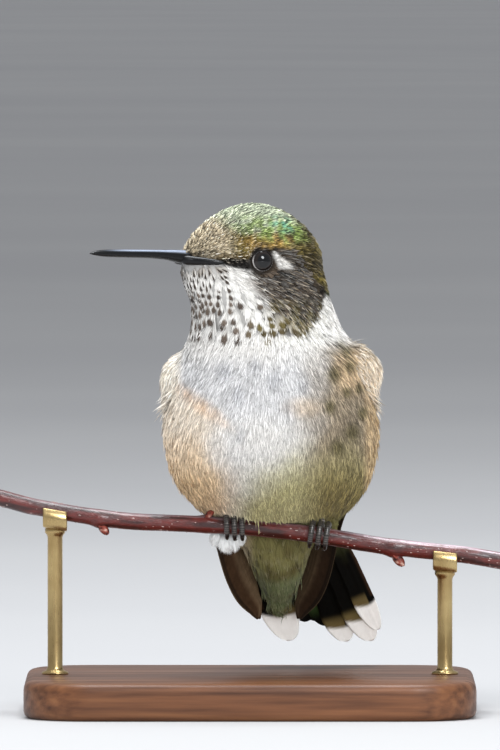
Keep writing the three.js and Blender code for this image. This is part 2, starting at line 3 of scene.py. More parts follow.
import bpy
import numpy as np
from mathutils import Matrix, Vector
from mathutils.bvhtree import BVHTree
from mathutils.kdtree import KDTree


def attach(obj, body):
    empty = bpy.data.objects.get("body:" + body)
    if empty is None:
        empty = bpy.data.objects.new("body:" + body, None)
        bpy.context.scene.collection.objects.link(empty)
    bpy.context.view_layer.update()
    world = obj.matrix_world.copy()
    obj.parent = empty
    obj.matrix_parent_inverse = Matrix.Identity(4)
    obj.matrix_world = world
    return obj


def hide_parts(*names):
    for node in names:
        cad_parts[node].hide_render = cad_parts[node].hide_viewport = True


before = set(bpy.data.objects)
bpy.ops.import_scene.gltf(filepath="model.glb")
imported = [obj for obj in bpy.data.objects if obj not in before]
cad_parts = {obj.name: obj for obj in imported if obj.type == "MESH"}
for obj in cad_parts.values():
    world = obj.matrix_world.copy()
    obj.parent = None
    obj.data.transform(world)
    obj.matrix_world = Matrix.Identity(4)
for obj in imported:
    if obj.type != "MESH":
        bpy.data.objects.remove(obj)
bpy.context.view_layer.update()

# A perched hummingbird, an immature male Ruby-throated Hummingbird, on a cut twig above a stand.
# Lengths are millimetres until put() writes a mesh in metres. The bird faces -Y, and its left is +X.

MM = 0.001
SIDES = {"right": -1, "left": 1}
UP = np.array([0, 0, 1.0])
SEED = 20
rng = np.random.default_rng(SEED)

# ---------------------------------------------------------------- general helpers


def smooth(low, high, x):
    """0 below low and 1 above high, or the other way round where high is the smaller."""
    t = np.clip((np.asarray(x, float) - low) / (high - low), 0, 1)
    return t * t * (3 - 2 * t)


def unit(v):
    return v / np.maximum(np.linalg.norm(v, axis=-1, keepdims=True), 1e-9)


def rgb(r, g, b):
    """A linear colour from the 0..255 values seen on a screen."""
    c = np.array([r, g, b]) / 255
    return np.where(c <= 0.04045, c / 12.92, ((c + 0.055) / 1.055) ** 2.4)


def blend(colour, other, weight):
    return colour + (other - colour) * np.clip(weight, 0, 1)[..., None]


def layered(colour, *layers):
    """A colour with others laid over it in turn, each given with its weight."""
    for other, weight in layers:
        colour = blend(colour, other, weight)
    return colour


def shade(colour, amount):
    return np.clip(colour * (1 + amount[..., None]), 0, 1)


def spot(u, v, centre, radii, soft=0.35):
    """1 inside an ellipse in the (u, v) plane, 0 outside."""
    r = np.hypot((u - centre[0]) / radii[0], (v - centre[1]) / radii[1])
    return 1 - smooth(1 - soft, 1 + soft, r)


def curve(x, knots):
    """A smooth curve through rising knots (x, y), flat past its ends."""
    xs, ys = np.array(knots, float).T
    slope = np.zeros(len(xs))
    slope[1:-1] = (ys[2:] - ys[:-2]) / (xs[2:] - xs[:-2])
    x = np.clip(np.asarray(x, float), xs[0], xs[-1])
    i = np.clip(np.searchsorted(xs, x) - 1, 0, len(xs) - 2)
    span = xs[i + 1] - xs[i]
    s = (x - xs[i]) / span
    s2, s3 = s * s, s * s * s
    return ((2 * s3 - 3 * s2 + 1) * ys[i] + (s3 - 2 * s2 + s) * span * slope[i]
            + (3 * s2 - 2 * s3) * ys[i + 1] + (s3 - s2) * span * slope[i + 1])


def turn(axis, angle):
    """The matrix of a rotation about an axis."""
    c, s = math.cos(angle), math.sin(angle)
    x, y, z = unit(np.asarray(axis, float))
    return np.array([
        [c + x * x * (1 - c), x * y * (1 - c) - z * s, x * z * (1 - c) + y * s],
        [y * x * (1 - c) + z * s, c + y * y * (1 - c), y * z * (1 - c) - x * s],
        [z * x * (1 - c) - y * s, z * y * (1 - c) + x * s, c + z * z * (1 - c)],
    ])


def noise(p, scale, seed=0):
    """Smooth value noise in 0..1 at points p."""
    q = np.asarray(p, float) / scale + 31.7 + seed * 7.31
    cell = np.floor(q).astype(np.int64)
    f = q - cell
    f = f * f * (3 - 2 * f)

    def value(corner):
        c = cell + np.array(corner)
        h = (c[..., 0] * 73856093) ^ (c[..., 1] * 19349663) ^ (c[..., 2] * 83492791) ^ (seed * 2654435)
        h = (h ^ (h >> 13)) * 1274126177
        return ((h ^ (h >> 16)) & 0xFFFF) / 65535.0

    total = 0
    for i in (0, 1):
        for j in (0, 1):
            for k in (0, 1):
                w = (f[..., 0] if i else 1 - f[..., 0]) * (f[..., 1] if j else 1 - f[..., 1])
                total = total + w * (f[..., 2] if k else 1 - f[..., 2]) * value((i, j, k))
    return total


# ---------------------------------------------------------------- meshes


def put(name, points, faces, material, colours=None, uv=None):
    """A mesh object from millimetre points and a list of face arrays, each of triangles or of quads."""
    mesh = bpy.data.meshes.new(name)
    points = np.asarray(points, float) * MM
    index = np.concatenate([group.ravel() for group in faces])
    sizes = np.concatenate([np.full(len(group), group.shape[1]) for group in faces])
    mesh.vertices.add(len(points))
    mesh.vertices.foreach_set("co", points.astype(np.float32).ravel())
    mesh.loops.add(len(index))
    mesh.loops.foreach_set("vertex_index", index.astype(np.int32))
    mesh.polygons.add(len(sizes))
    starts = np.concatenate([[0], np.cumsum(sizes)[:-1]])
    mesh.polygons.foreach_set("loop_start", starts.astype(np.int32))
    mesh.update(calc_edges=True)
    if colours is not None:
        layer = mesh.color_attributes.new("Col", "FLOAT_COLOR", "POINT")
        rgba = np.ones((len(points), 4), np.float32)
        rgba[:, :3] = colours
        layer.data.foreach_set("color", rgba.ravel())
    if uv is not None:
        corners = uv[index] if len(uv) == len(points) else uv
        mesh.uv_layers.new(name="OFBake").data.foreach_set("uv", corners.astype(np.float32).ravel())
    mesh.validate()
    mesh.polygons.foreach_set("use_smooth", np.full(len(mesh.polygons), True))
    mesh.materials.append(material)
    thing = bpy.data.objects.new(name, mesh)
    bpy.context.scene.collection.objects.link(thing)
    return thing


def piece(name, made, material, colours, slot, *replaced, uv=None):
    """Put one piece of the bird or the stand in place of its nodes; made is (points, faces)."""
    thing = put(name, *made, material, colours, uv)
    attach(thing, "root")
    if replaced:
        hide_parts(*replaced)


def circle(count):
    """Angles evenly round a circle."""
    return np.linspace(0, 2 * np.pi, count, endpoint=False)


def grid_faces(rows, cols, start=0, closed=False):
    """Quads of a rows x cols grid of points; closed joins the last column to the first."""
    r = np.arange(rows - 1)[:, None] * cols
    c = np.arange(cols if closed else cols - 1)[None, :]
    n = (c + 1) % cols
    return start + np.stack([r + c, r + n, r + cols + n, r + cols + c], -1).reshape(-1, 4)


def tube(rings):
    """Points and faces of a closed body through rings (n, m, 3), with a fan at each end."""
    n, m, _ = rings.shape
    k = np.arange(m)
    low = (n - 1) * m
    first_fan = np.stack([np.full(m, n * m), (k + 1) % m, k], -1)
    last_fan = np.stack([np.full(m, n * m + 1), low + k, low + (k + 1) % m], -1)
    ends = [rings[:1].mean(axis=1), rings[-1:].mean(axis=1)]
    return np.concatenate([rings.reshape(-1, 3)] + ends), [grid_faces(n, m, closed=True), first_fan, last_fan]


def join(parts):
    """One point array and face list from several (points, faces)."""
    points, faces, count = [], [], 0
    for some_points, some_faces in parts:
        points.append(some_points)
        faces += [group + count for group in some_faces]
        count += len(some_points)
    return np.concatenate(points), faces


def egg(radii, rotation, centre, rows=24, cols=32):
    """An ellipsoid with the rotation's columns as its axes."""
    lat = np.linspace(0, np.pi, rows)[1:-1, None]
    lon = circle(cols)[None, :]
    ball = np.stack([np.sin(lat) * np.cos(lon), np.sin(lat) * np.sin(lon), np.cos(lat) + 0 * lon], -1)
    return tube((ball * radii) @ rotation.T + centre)


def ring_frame(path):
    """Two directions square to a path at each of its points."""
    way = unit(np.gradient(path, axis=0))
    first = unit(np.cross(way[0], UP))
    sides = [first]
    for w in way[1:]:
        side = sides[-1] - (sides[-1] @ w) * w
        sides.append(side / np.linalg.norm(side))
    sides = np.array(sides)
    return sides, np.cross(way, sides)


def hose(path, radii, sides=14, squash=1.0):
    """A round body along a path; radii may differ round each ring."""
    a, b = ring_frame(path)
    angle = circle(sides)
    radii = radii[:, None] * np.ones(sides) if radii.ndim == 1 else radii
    rings = (path[:, None, :] + (radii * np.cos(angle))[..., None] * a[:, None, :]
             + (radii * np.sin(angle) * squash)[..., None] * b[:, None, :])
    return tube(rings)


# ---------------------------------------------------------------- materials


class Shader:
    """A material with the few kinds of node used here; the mesh's colour attribute is its paint."""

    def __init__(self, name):
        self.material = bpy.data.materials.new(name)
        self.material.use_nodes = True
        self.tree = self.material.node_tree
        self.surface = self.tree.nodes["Principled BSDF"]

    def add(self, kind, **values):
        made = self.tree.nodes.new(kind)
        for key, value in values.items():
            if key in made.inputs:
                made.inputs[key].default_value = value
            else:
                setattr(made, key, value)
        return made

    def set(self, **sockets):
        """Give the surface's sockets a number or link them; an underscore stands for a space."""
        for key, value in sockets.items():
            socket = self.surface.inputs[key.replace("_", " ")]
            if hasattr(value, "is_output"):
                self.tree.links.new(value, socket)
            else:
                socket.default_value = value

    def paint(self):
        return self.add("ShaderNodeAttribute", attribute_name="Col").outputs["Color"]

    def multiply(self, a, b):
        made = self.add("ShaderNodeMix", data_type="RGBA", blend_type="MULTIPLY")
        made.inputs[0].default_value = 1.0
        self.tree.links.new(a, made.inputs[6])
        self.tree.links.new(b, made.inputs[7])
        return made.outputs[2]

    def ramp(self, source, *stops):
        """A ramp through stops of (place, grey or colour)."""
        made = self.add("ShaderNodeValToRGB")
        while len(made.color_ramp.elements) < len(stops):
            made.color_ramp.elements.new(0.5)
        for element, (place, colour) in zip(made.color_ramp.elements, stops):
            element.position = place
            element.color = (*(np.zeros(3) + colour), 1)
        self.tree.links.new(source, made.inputs[0])
        return made.outputs[0]

    def grain(self, scale, detail=2.0, stretch=(1, 1, 1)):
        """Noise fixed to the object, with scale in features per millimetre."""
        place = self.add("ShaderNodeTexCoord")
        mapping = self.add("ShaderNodeMapping", Scale=stretch)
        self.tree.links.new(place.outputs["Object"], mapping.inputs["Vector"])
        texture = self.add("ShaderNodeTexNoise", Scale=scale / MM, Detail=detail)
        self.tree.links.new(mapping.outputs[0], texture.inputs["Vector"])
        return texture.outputs[0]

    def bump(self, height, depth, strength):
        made = self.add("ShaderNodeBump", Distance=depth * MM, Strength=strength)
        self.tree.links.new(height, made.inputs["Height"])
        self.tree.links.new(made.outputs[0], self.surface.inputs["Normal"])


def plumage(name, roughness, sheen, specular, vary, metallic=0.0):
    """Feather colour from the mesh, with a fine mottling and barbule roughness."""
    m = Shader(name)
    speck = m.ramp(m.grain(2.6), (0.25, 1 - vary), (0.75, 1.0))
    m.set(Base_Color=m.multiply(m.paint(), speck), Roughness=roughness, Metallic=metallic,
          Sheen_Weight=sheen, Sheen_Roughness=0.4, Specular_IOR_Level=specular)
    m.bump(m.grain(9, 1.0), 0.02, 0.5)
    return m.material


def painted(name, roughness, specular=0.5, vary=0.15, scale=2.0, depth=0.02, coat=0.0, stretch=(1, 1, 1)):
    """A surface coloured from the mesh, mottled, with fine relief."""
    m = Shader(name)
    texture = m.grain(scale, 4.0, stretch)
    mottle = m.ramp(texture, (0.3, 1 - vary), (0.7, 1.0))
    rough = m.ramp(texture, (0.3, min(1, roughness * 1.25)), (0.7, roughness * 0.85))
    m.set(Base_Color=m.multiply(m.paint(), mottle), Roughness=rough, Specular_IOR_Level=specular,
          Coat_Weight=coat, Coat_Roughness=0.12)
    m.bump(m.grain(scale * 3, 3.0, stretch), depth, 0.6)
    return m.material


def wood():
    """Dark oiled hardwood: grain running along X, with pores."""
    m = Shader("stand_wood")
    fibres = m.grain(0.9, 6.0, (0.05, 1, 1))
    rings = m.grain(0.16, 2.0, (0.12, 1, 1))
    colour = m.ramp(fibres, (0.3, rgb(70, 42, 26)), (0.52, rgb(104, 66, 42)), (0.75, rgb(126, 84, 54)))
    m.set(Base_Color=m.multiply(colour, m.ramp(rings, (0.35, 0.72), (0.65, 1.0))),
          Roughness=m.ramp(fibres, (0.3, 0.5), (0.7, 0.34)), Specular_IOR_Level=0.35)
    m.bump(fibres, 0.08, 0.5)
    return m.material


def brass():
    """Brushed brass, a little toned."""
    m = Shader("stand_brass")
    lines = m.grain(5.0, 3.0, (1, 1, 0.06))
    m.set(Base_Color=m.ramp(m.grain(0.25), (0.3, rgb(168, 142, 96)), (0.7, rgb(198, 174, 124))),
          Roughness=m.ramp(lines, (0.3, 0.38), (0.7, 0.24)), Metallic=1.0)
    m.bump(lines, 0.01, 0.4)
    return m.material


# ---------------------------------------------------------------- the body's form

EYE_LEVEL, CROWN = 59.6, 68.0
DOME_LONG = 0.62
HEAD_X, HEAD_Y, HEAD_TURN = 0.3, -3.0, math.radians(53)
MID_X, MID_Y, YAW, FRONT, REAR, HALF, TAPER = range(1, 8)
# height, middle x and y, turn, reach to front and back, half width, front taper
SECTIONS = np.array([
    [12.6, 4.0, 16.2, 0, 1.5, 1.7, 1.0, 0], [15.2, 4.0, 14.0, 0, 3.2, 3.2, 2.1, 0],
    [18.0, 3.8, 11.6, 0, 4.4, 4.4, 3.4, 0], [21.2, 3.6, 9.6, 0, 5.0, 5.6, 4.6, -0.05],
    [23.6, 3.4, 8.6, 0, 6.5, 7.4, 6.4, -0.15], [25.6, 3.3, 7.2, 0, 8.5, 9.3, 8.6, -0.22],
    [27.6, 3.2, 5.6, 0, 11.0, 11.0, 10.6, -0.22], [30.0, 3.0, 3.8, 0, 12.5, 12.5, 12.4, -0.18],
    [33.0, 2.9, 2.1, 0, 13.3, 13.7, 13.6, -0.12], [37.6, 2.8, 0.6, 0, 13.9, 14.0, 14.3, -0.04],
    [42.0, 2.7, 0.0, 0, 13.8, 12.9, 13.6, 0], [46.5, 2.5, -0.6, 10, 12.8, 11.9, 12.2, 0],
    [49.5, 2.3, -1.4, 22, 11.9, 11.2, 10.6, 0.02], [52.0, 2.0, -2.0, 35, 11.4, 10.1, 9.4, 0.06],
    [54.6, 1.4, -2.6, 46, 10.6, 9.5, 8.6, 0.14], [57.1, 0.7, -2.9, 52, 11.0, 9.8, 7.9, 0.22],
    [59.6, 0.3, -3.0, 53, 11.2, 9.6, 7.5, 0.25],
])


def section(z, column):
    return curve(z, SECTIONS[:, [0, column]])


def body_point(z, angle):
    """A point of the coat's outer surface: angle 0 is the breast, +90 degrees the bird's left."""
    z, angle = np.broadcast_arrays(np.asarray(z, float), np.asarray(angle, float))
    dome = np.clip((z - EYE_LEVEL) / (CROWN - EYE_LEVEL), 0, 1)
    yaw = np.radians(section(z, YAW))
    cos, sin = np.cos(angle), np.sin(angle)
    ahead = np.where(cos > 0, section(z, FRONT), section(z, REAR)) * (1 - dome ** 2) ** DOME_LONG * cos
    left = section(z, HALF) * np.sqrt(1 - dome ** 2) * sin * (1 - section(z, TAPER) * cos)
    x = section(z, MID_X) - np.sin(yaw) * ahead + np.cos(yaw) * left
    y = section(z, MID_Y) - np.cos(yaw) * ahead - np.sin(yaw) * left
    return np.stack([x, y, z], -1)


def round_body(p):
    """The angle of points round the body's middle, as body_point counts it."""
    q = p[..., :2] - np.stack([section(p[..., 2], MID_X), section(p[..., 2], MID_Y)], -1)
    return np.arctan2(q[..., 0], -q[..., 1])


AHEAD = np.array([-math.sin(HEAD_TURN), -math.cos(HEAD_TURN), 0])
LEFTWARD = np.array([math.cos(HEAD_TURN), -math.sin(HEAD_TURN), 0])


def on_head(fore, left, height):
    """A point from its distances ahead of the head's axis, to the head's left and above the base."""
    fore, left, height = np.broadcast_arrays(*[np.asarray(t, float) for t in (fore, left, height)])
    return (np.array([HEAD_X, HEAD_Y, 0]) + fore[..., None] * AHEAD + left[..., None] * LEFTWARD
            + height[..., None] * UP)


def head_frame(p):
    """The three distances that on_head takes, at points p."""
    q = p - np.array([HEAD_X, HEAD_Y, 0])
    return q @ AHEAD, q @ LEFTWARD, p[..., 2]


TWIG_RADIUS = 1.12
TWIG_COURSE = [(-38, 29.2), (-28, 27.2), (-18, 25.6), (-8, 25.05), (0, 24.6), (8, 23.7), (18, 22.1),
               (28, 21.0), (38, 19.7)]


def twig_height(x):
    return curve(x, TWIG_COURSE)


def mid_x(z):
    return 2.9 + (44 - z) * 0.03


SHOULDER_OUT, SHOULDER_Y, SHOULDER_LEAN, SHOULDER_PITCH = 11.7, 0.2, 0.55, -0.5
SHOULDER_Z = {-1: 44.9, 1: 45.7}
SHOULDER_RADII = np.array([3.0, 5.2, 3.6])
# the thighs' x, height above the twig, y, pitch and radii
THIGHS = {-3.15: 0.6, 9.85: 1.6}
THIGH_Y, THIGH_PITCH, THIGH_RADII = 3.6, 0.25, np.array([2.0, 1.5, 2.7])
BROW_FORE, BROW_HEIGHT, BROW_RADII = 9.9, 61.5, np.array([2.1, 1.6, 0.62])


def shoulder(side):
    """The middle of the wing's bend and its axes."""
    centre = np.array([mid_x(45) + side * SHOULDER_OUT, SHOULDER_Y, SHOULDER_Z[side]])
    return centre, turn((0, 1, 0), -side * SHOULDER_LEAN) @ turn((1, 0, 0), SHOULDER_PITCH)


def thigh(x):
    """The middle of the thigh at x and its axes."""
    return np.array([x, THIGH_Y, twig_height(x) + THIGHS[x]]), turn((1, 0, 0), THIGH_PITCH)


def form(parts, voxel, rounds):
    """The union of closed bodies as one smooth mesh: points, normals, polygons."""
    points, faces = join(parts)
    mesh = bpy.data.meshes.new("form")
    mesh.from_pydata(points.tolist(), [], [tuple(f) for group in faces for f in group.tolist()])
    thing = bpy.data.objects.new("form", mesh)
    bpy.context.scene.collection.objects.link(thing)
    remesh = thing.modifiers.new("remesh", "REMESH")
    remesh.mode = "VOXEL"
    remesh.voxel_size = voxel
    relax = thing.modifiers.new("relax", "SMOOTH")
    relax.factor = 0.5
    relax.iterations = rounds
    depsgraph = bpy.context.evaluated_depsgraph_get()
    done = bpy.data.meshes.new_from_object(thing.evaluated_get(depsgraph))
    read = {}
    for name in ("co", "normal"):
        values = np.empty(len(done.vertices) * 3, np.float32)
        done.vertices.foreach_get(name, values)
        read[name] = values.reshape(-1, 3).astype(float)
    polygons = [tuple(p.vertices) for p in done.polygons]
    bpy.data.objects.remove(thing)
    bpy.data.meshes.remove(mesh)
    bpy.data.meshes.remove(done)
    return read["co"], read["normal"], polygons


def body_parts():
    """The closed bodies whose union is the coat's outer surface: trunk with head, shoulders, brow, thighs."""
    angles = circle(80)
    low = SECTIONS[0, 0]
    levels = np.concatenate([np.linspace(low, EYE_LEVEL, 90)[:-1],
                             EYE_LEVEL + (CROWN - EYE_LEVEL) * np.sin(np.linspace(0, np.pi / 2, 24)[:-1])])
    points, faces = tube(np.stack([body_point(z, angles) for z in levels]))
    points[-2] = [section(low, MID_X), section(low, MID_Y) + 0.6, low - 0.9]
    points[-1] = [HEAD_X, HEAD_Y, CROWN]
    parts = [(points, faces)]
    for side in SIDES.values():
        centre, rotation = shoulder(side)
        parts.append(egg(SHOULDER_RADII - 0.25, rotation, centre))
    head_axes = np.stack([AHEAD, LEFTWARD, UP], 1)
    parts.append(egg(BROW_RADII, head_axes, on_head(BROW_FORE, 0, BROW_HEIGHT)))
    for x in THIGHS:
        centre, rotation = thigh(x)
        parts.append(egg(THIGH_RADII, rotation, centre))
    return parts


surface, surface_normals, surface_polygons = form(body_parts(), voxel=0.3, rounds=12)
tree = BVHTree.FromPolygons([tuple(p) for p in surface], surface_polygons)
polygon_normals = unit(np.array([surface_normals[list(p)].mean(axis=0) for p in surface_polygons]))


def nearest(points):
    """The closest places on the coat's surface, and the outward normals there."""
    found = [tree.find_nearest(Vector(p)) for p in points]
    places = np.array([f[0] for f in found])
    return places, polygon_normals[[f[2] for f in found]]


# ---------------------------------------------------------------- where things are on the bird

EYE_RADIUS, EYE_FORE, EYE_SIDE, EYE_HEIGHT = 1.8, 2.68, 5.2, 60.4
EYE_TURN, EYE_TILT = 0.27, 0.03
FAR = 99.0
# degrees below straight back as seen from the bill's root, and those of the feathers' lie there
HEAD_LIE = ([-90, -10, 15, 40, 65, 90, 130], [-80, 8, 24, 42, 72, 98, 108])
# heights, and how far the feathers' lie spreads outward there
BODY_SPREAD = ([26, 32, 38, 44, 50], [0.05, 0.2, 0.55, 0.95, 0.9])
TAIL_WAY = np.array([0.1, 0.52, -0.85])


def eye_centre(side):
    return on_head(EYE_FORE, side * EYE_SIDE, EYE_HEIGHT)


def eye_axis(side):
    return unit(side * LEFTWARD * math.cos(EYE_TURN) + AHEAD * math.sin(EYE_TURN) + EYE_TILT * UP)


def off_axis(p, side):
    """How far points lie along an eye's axis, and their offsets from it."""
    q = p - eye_centre(side)
    ahead = q @ eye_axis(side)
    return ahead, q - ahead[..., None] * eye_axis(side)


def from_eye(p):
    """Distance from the nearer eye's axis, for points on the head's side."""
    best = np.full(p.shape[:-1], FAR)
    for side in SIDES.values():
        ahead, off = off_axis(p, side)
        best = np.minimum(best, np.where(ahead > 0, np.linalg.norm(off, axis=-1), FAR))
    return best


def facing(p):
    """Degrees away from the breast round the body, and away from the bill round the head."""
    f, l, _ = head_frame(p)
    return np.abs(np.degrees(round_body(p))), np.abs(np.degrees(np.arctan2(l, f)))


def nape_angle(h, around, head_around):
    """Degrees round the body, passing over into degrees round the head at the neck."""
    return around * (1 - smooth(54, 57, h)) + head_around * smooth(54, 57, h)


def between(first, second, weight):
    return first * (1 - weight[..., None]) + second * weight[..., None]


def head_flow(f, l, h):
    """On the head the feathers lie away from the bill, and on the throat they turn down."""
    radial = unit(np.stack([f - 10.6, l, h - 60.9], -1))
    theta = np.degrees(np.arctan2(60.2 - h, 9.8 - f))
    psi = np.radians(np.interp(theta, *HEAD_LIE))
    lower = np.stack([-np.cos(psi), 0.1 * np.sign(l), -np.sin(psi)], -1)
    local = unit(between(radial, lower, smooth(-12, 8, theta)))
    return local[..., :1] * AHEAD + local[..., 1:2] * LEFTWARD + local[..., 2:] * UP


def body_flow(x, z):
    """On the body the feathers lie downward and outward, and at its end along the tail."""
    spread = np.interp(z, *BODY_SPREAD)
    down_and_out = np.stack([spread * (x - 3) / 14, 0.1 + 0 * x, -1 + 0 * x], -1)
    return unit(between(down_and_out, TAIL_WAY, smooth(30, 24, z)))


def flow(p, normal):
    """The lie of the feathers: a unit tangent at each point, led round the eyes."""
    f, l, h = head_frame(p)
    way = unit(between(body_flow(p[..., 0], p[..., 2]), head_flow(f, l, h), smooth(50.5, 56.5, h)))
    for side in SIDES.values():
        ahead, off = off_axis(p, side)
        gap = np.linalg.norm(off, axis=-1, keepdims=True)
        inward = np.minimum((way * off).sum(-1, keepdims=True) / np.maximum(gap, 0.1), 0)
        way = way - smooth(3.4, 1.7, gap) * (ahead > 0)[..., None] * (inward * 1.25) * unit(off)
    return unit(way - (way * normal).sum(-1, keepdims=True) * normal)


def in_polygon(u, v, corners):
    inside = np.zeros(u.shape, bool)
    for (u1, v1), (u2, v2) in zip(corners, corners[1:] + corners[:1]):
        crosses = (v1 > v) != (v2 > v)
        where = (u2 - u1) * (v - v1) / ((v2 - v1) if v2 != v1 else 1e-9) + u1
        inside ^= crosses & (u < where)
    return inside


# the folded wing's outline seen from the side: y and height
WING_AREA = [(-1.6, 44.2), (0.9, 39.2), (3.9, 34.4), (6.6, 30.2), (8.2, 27.2), (12.3, 27.2), (18.0, 31.0),
             (18.0, 37.0), (16.6, 42.5), (12.4, 47.6), (5.0, 48.6), (0.5, 47.2)]


def cover_line(y):
    """Height down to which the coverts hide the roots of the flight feathers."""
    return np.interp(y, [0, 4, 9, 14], [40.4, 39.4, 37.2, 36.2])


def on_wing(p):
    out = np.abs(p[..., 0] - mid_x(p[..., 2]))
    near = 5.6 + 0.16 * (p[..., 2] - 38)
    return in_polygon(p[..., 1], p[..., 2], WING_AREA) & (out > near)


def within(p, centre, rotation, radii):
    """1 on an ellipsoid, less inside it."""
    return (((p - centre) @ rotation / radii) ** 2).sum(-1)


def on_shoulder(p):
    return np.any([within(p, *shoulder(side), SHOULDER_RADII + 0.3) < 1.08 for side in SIDES.values()], axis=0)


def on_thigh(p):
    return np.any([(within(p, *thigh(x), THIGH_RADII + 0.2) < 1.12) & (p[..., 2] < twig_height(x) + 1.2)
                   for x in THIGHS], axis=0)


# ---------------------------------------------------------------- markings

# In this part f, l and h are a point's distances ahead of the head's axis, to its left and above the base.

WHITE, COOL, CREAM = rgb(232, 230, 226), rgb(209, 209, 210), rgb(230, 216, 196)
BUFF, DUSKY, BELLY_SHADE_OLIVE = rgb(228, 200, 162), rgb(136, 118, 88), rgb(190, 184, 138)
DARK, BRONZE, AURICULAR = rgb(34, 28, 22), rgb(160, 128, 62), rgb(88, 76, 64)
GREEN, TEAL, PALE_GREEN = rgb(136, 160, 82), rgb(112, 178, 148), rgb(186, 196, 168)
FOREHEAD, BREAST_GREY_BLUE, FLANK_SPOT = rgb(206, 190, 160), rgb(146, 149, 158), rgb(88, 82, 50)
# x, height and radius of the breast's grey-blue patches and of the flank's spots
BREAST_GREY_PATCHES = [(-3.4, 45.7, 0.9), (-1.6, 42.6, 0.8), (-1.3, 37.3, 0.7), (3.2, 44.6, 0.8), (5.2, 40.6, 0.9),
                  (0.7, 46.6, 0.6), (7.2, 43.9, 0.8)]
FLANK_SPOTS = [(13.3, 46.3, 0.8), (14.5, 43.3, 0.55), (12.9, 42.9, 0.6), (11.2, 45.3, 0.9), (15.0, 40.0, 0.7),
               (12.0, 49.3, 0.5), (12.9, 48.2, 0.6), (10.6, 41.0, 0.7), (13.6, 37.6, 0.9), (11.6, 35.6, 0.9)]
# f, and the height of the cap's lower edge, from the nape over the eye and the lores to the bill
BROW_LINE = ([-9, -5, -2.5, -0.6, 1.2, 2.8, 4.0, 5.0, 7.0, 9.0, 11],
             [55.5, 57.6, 59.6, 61.7, 62.2, 62.0, 61.4, 60.5, 60.3, 60.4, 60.8])
# heights, and f where the dark ear coverts end
EAR_EDGE = ([49.5, 51, 53, 54.6, 56.1, 57.6, 59.3], [2.8, 2.9, 3.0, 3.1, 3.6, 4.3, 4.7])
# f, and the height where the ear coverts end
EAR_BOTTOM = ([-8, -6.9, -5.9, -4.1, -1.1, 2, 5], [58, 56.4, 54.8, 52.6, 50.9, 51.2, 52.4])


def brow_line(f):
    return np.interp(f, *BROW_LINE)


def ear_bottom(f):
    return np.interp(f, *EAR_BOTTOM)


def ear_weight(p, stray):
    """How far a place belongs to the dark ear coverts."""
    f, _, h = head_frame(p)
    ahead, above = f - np.interp(h, *EAR_EDGE), h - ear_bottom(f)
    ear = smooth(1.7, -0.9, ahead - 0.9 * stray) * smooth(-0.6, 0.6, above - 1.2 * stray)
    return ear * (h < 63) * smooth(-9.5, -8, f)


def eye_spot(f, h):
    """The white spot behind the eye, narrow above and broad below."""
    low = smooth(61.7, 59.3, h)
    middle = 1.4 - 1.4 * low
    broad = 0.3 + 0.75 * low
    across = 1 - smooth(broad - 0.2, broad + 0.25, np.abs(f - middle))
    return across * smooth(59.1, 59.6, h) * smooth(61.8, 61.5, h)


def under_parts(p, cloud, fine):
    """Cool white, with a buff right flank, a dusky left side, an orange smudge, grey-blue patches and spots,
    and an olive tint low on the belly that is painted shade and a painted green reflection.
    """
    x, y, z = p[..., 0], p[..., 1], p[..., 2]
    right_flank = smooth(-2.5, -8, x + 1.5 * cloud) * smooth(44.5, 40.5, z + 0.3 * x + 3)
    left_side = smooth(5.5, 12.0, x + 2.5 * cloud + 0.12 * (44 - z)) * smooth(49.5, 46.5, z - 0.1 * x)
    # the olive tint low on the belly is painted shade and a painted green reflection
    olive = smooth(4.5, -4.5, z - 30.4 - 0.55 * np.clip(x, -3, 6) + 2 * cloud)
    low = smooth(34.5, 30.0, z + 1.5 * cloud)
    bend = smooth(11.5, 13.5, np.abs(x - mid_x(z))) * smooth(40.8, 42.2, z) * smooth(51, 49, z) * (y < 5)
    left_bend = bend * (x > 3)
    smudge = spot(x, z + 0.67 * (x + 6.8), (-6.8, 41.4), (3.4, 1.0), 0.8)
    colour = layered(
        COOL,
        (WHITE, smooth(41, 37, z) * 0.55 + smooth(45.5, 49.5, z + 1.5 * cloud) * 0.8),
        (CREAM, right_flank * 0.8),
        (BUFF, right_flank * smooth(39, 33, z + 2 * cloud) * 0.65),
        (rgb(222, 184, 144), smudge * (0.5 + 0.5 * fine)),
        (DUSKY, left_side * 0.85),
        (BUFF, spot(x, z, (13.5, 45.5), (2.2, 2.6), 0.6) * 0.7),
        (BUFF, spot(x, z, (7.0, 41.0), (2.2, 1.2), 0.7) * 0.4),
        # painted shade and painted green reflection on the lower belly
        (BELLY_SHADE_OLIVE, olive * smooth(-5, 1, x)),
        (rgb(122, 108, 64), olive * smooth(5, 11, x) * 0.85),
        (rgb(214, 184, 140), low * smooth(0, -5, x) * 0.75),
        (rgb(204, 178, 140), smooth(14.6, 16.2, x) * 0.8),
        (rgb(250, 240, 224), bend * (x < 3)),
        (rgb(218, 194, 162), left_bend * 0.85),
        (rgb(196, 160, 130), left_bend * spot(x, z, (14.0, 45.5), (0.9, 2.0), 0.6) * 0.7),
        (rgb(132, 114, 78), left_bend * smooth(45.5, 48.5, z + 2 * fine) * 0.75),
        (WHITE, spot(x, z, (2.0, 36.8), (3.4, 3.0), 0.7) * 0.5),
    )
    for at, high, r in BREAST_GREY_PATCHES:
        colour = blend(colour, BREAST_GREY_BLUE, spot(x, z, (at, high), (r, r * 1.3), 0.9) * 0.34)
    for at, high, r in FLANK_SPOTS:
        colour = blend(colour, FLANK_SPOT, spot(x, z, (at, high), (r, r * 1.2), 0.7) * 0.75)
    return colour


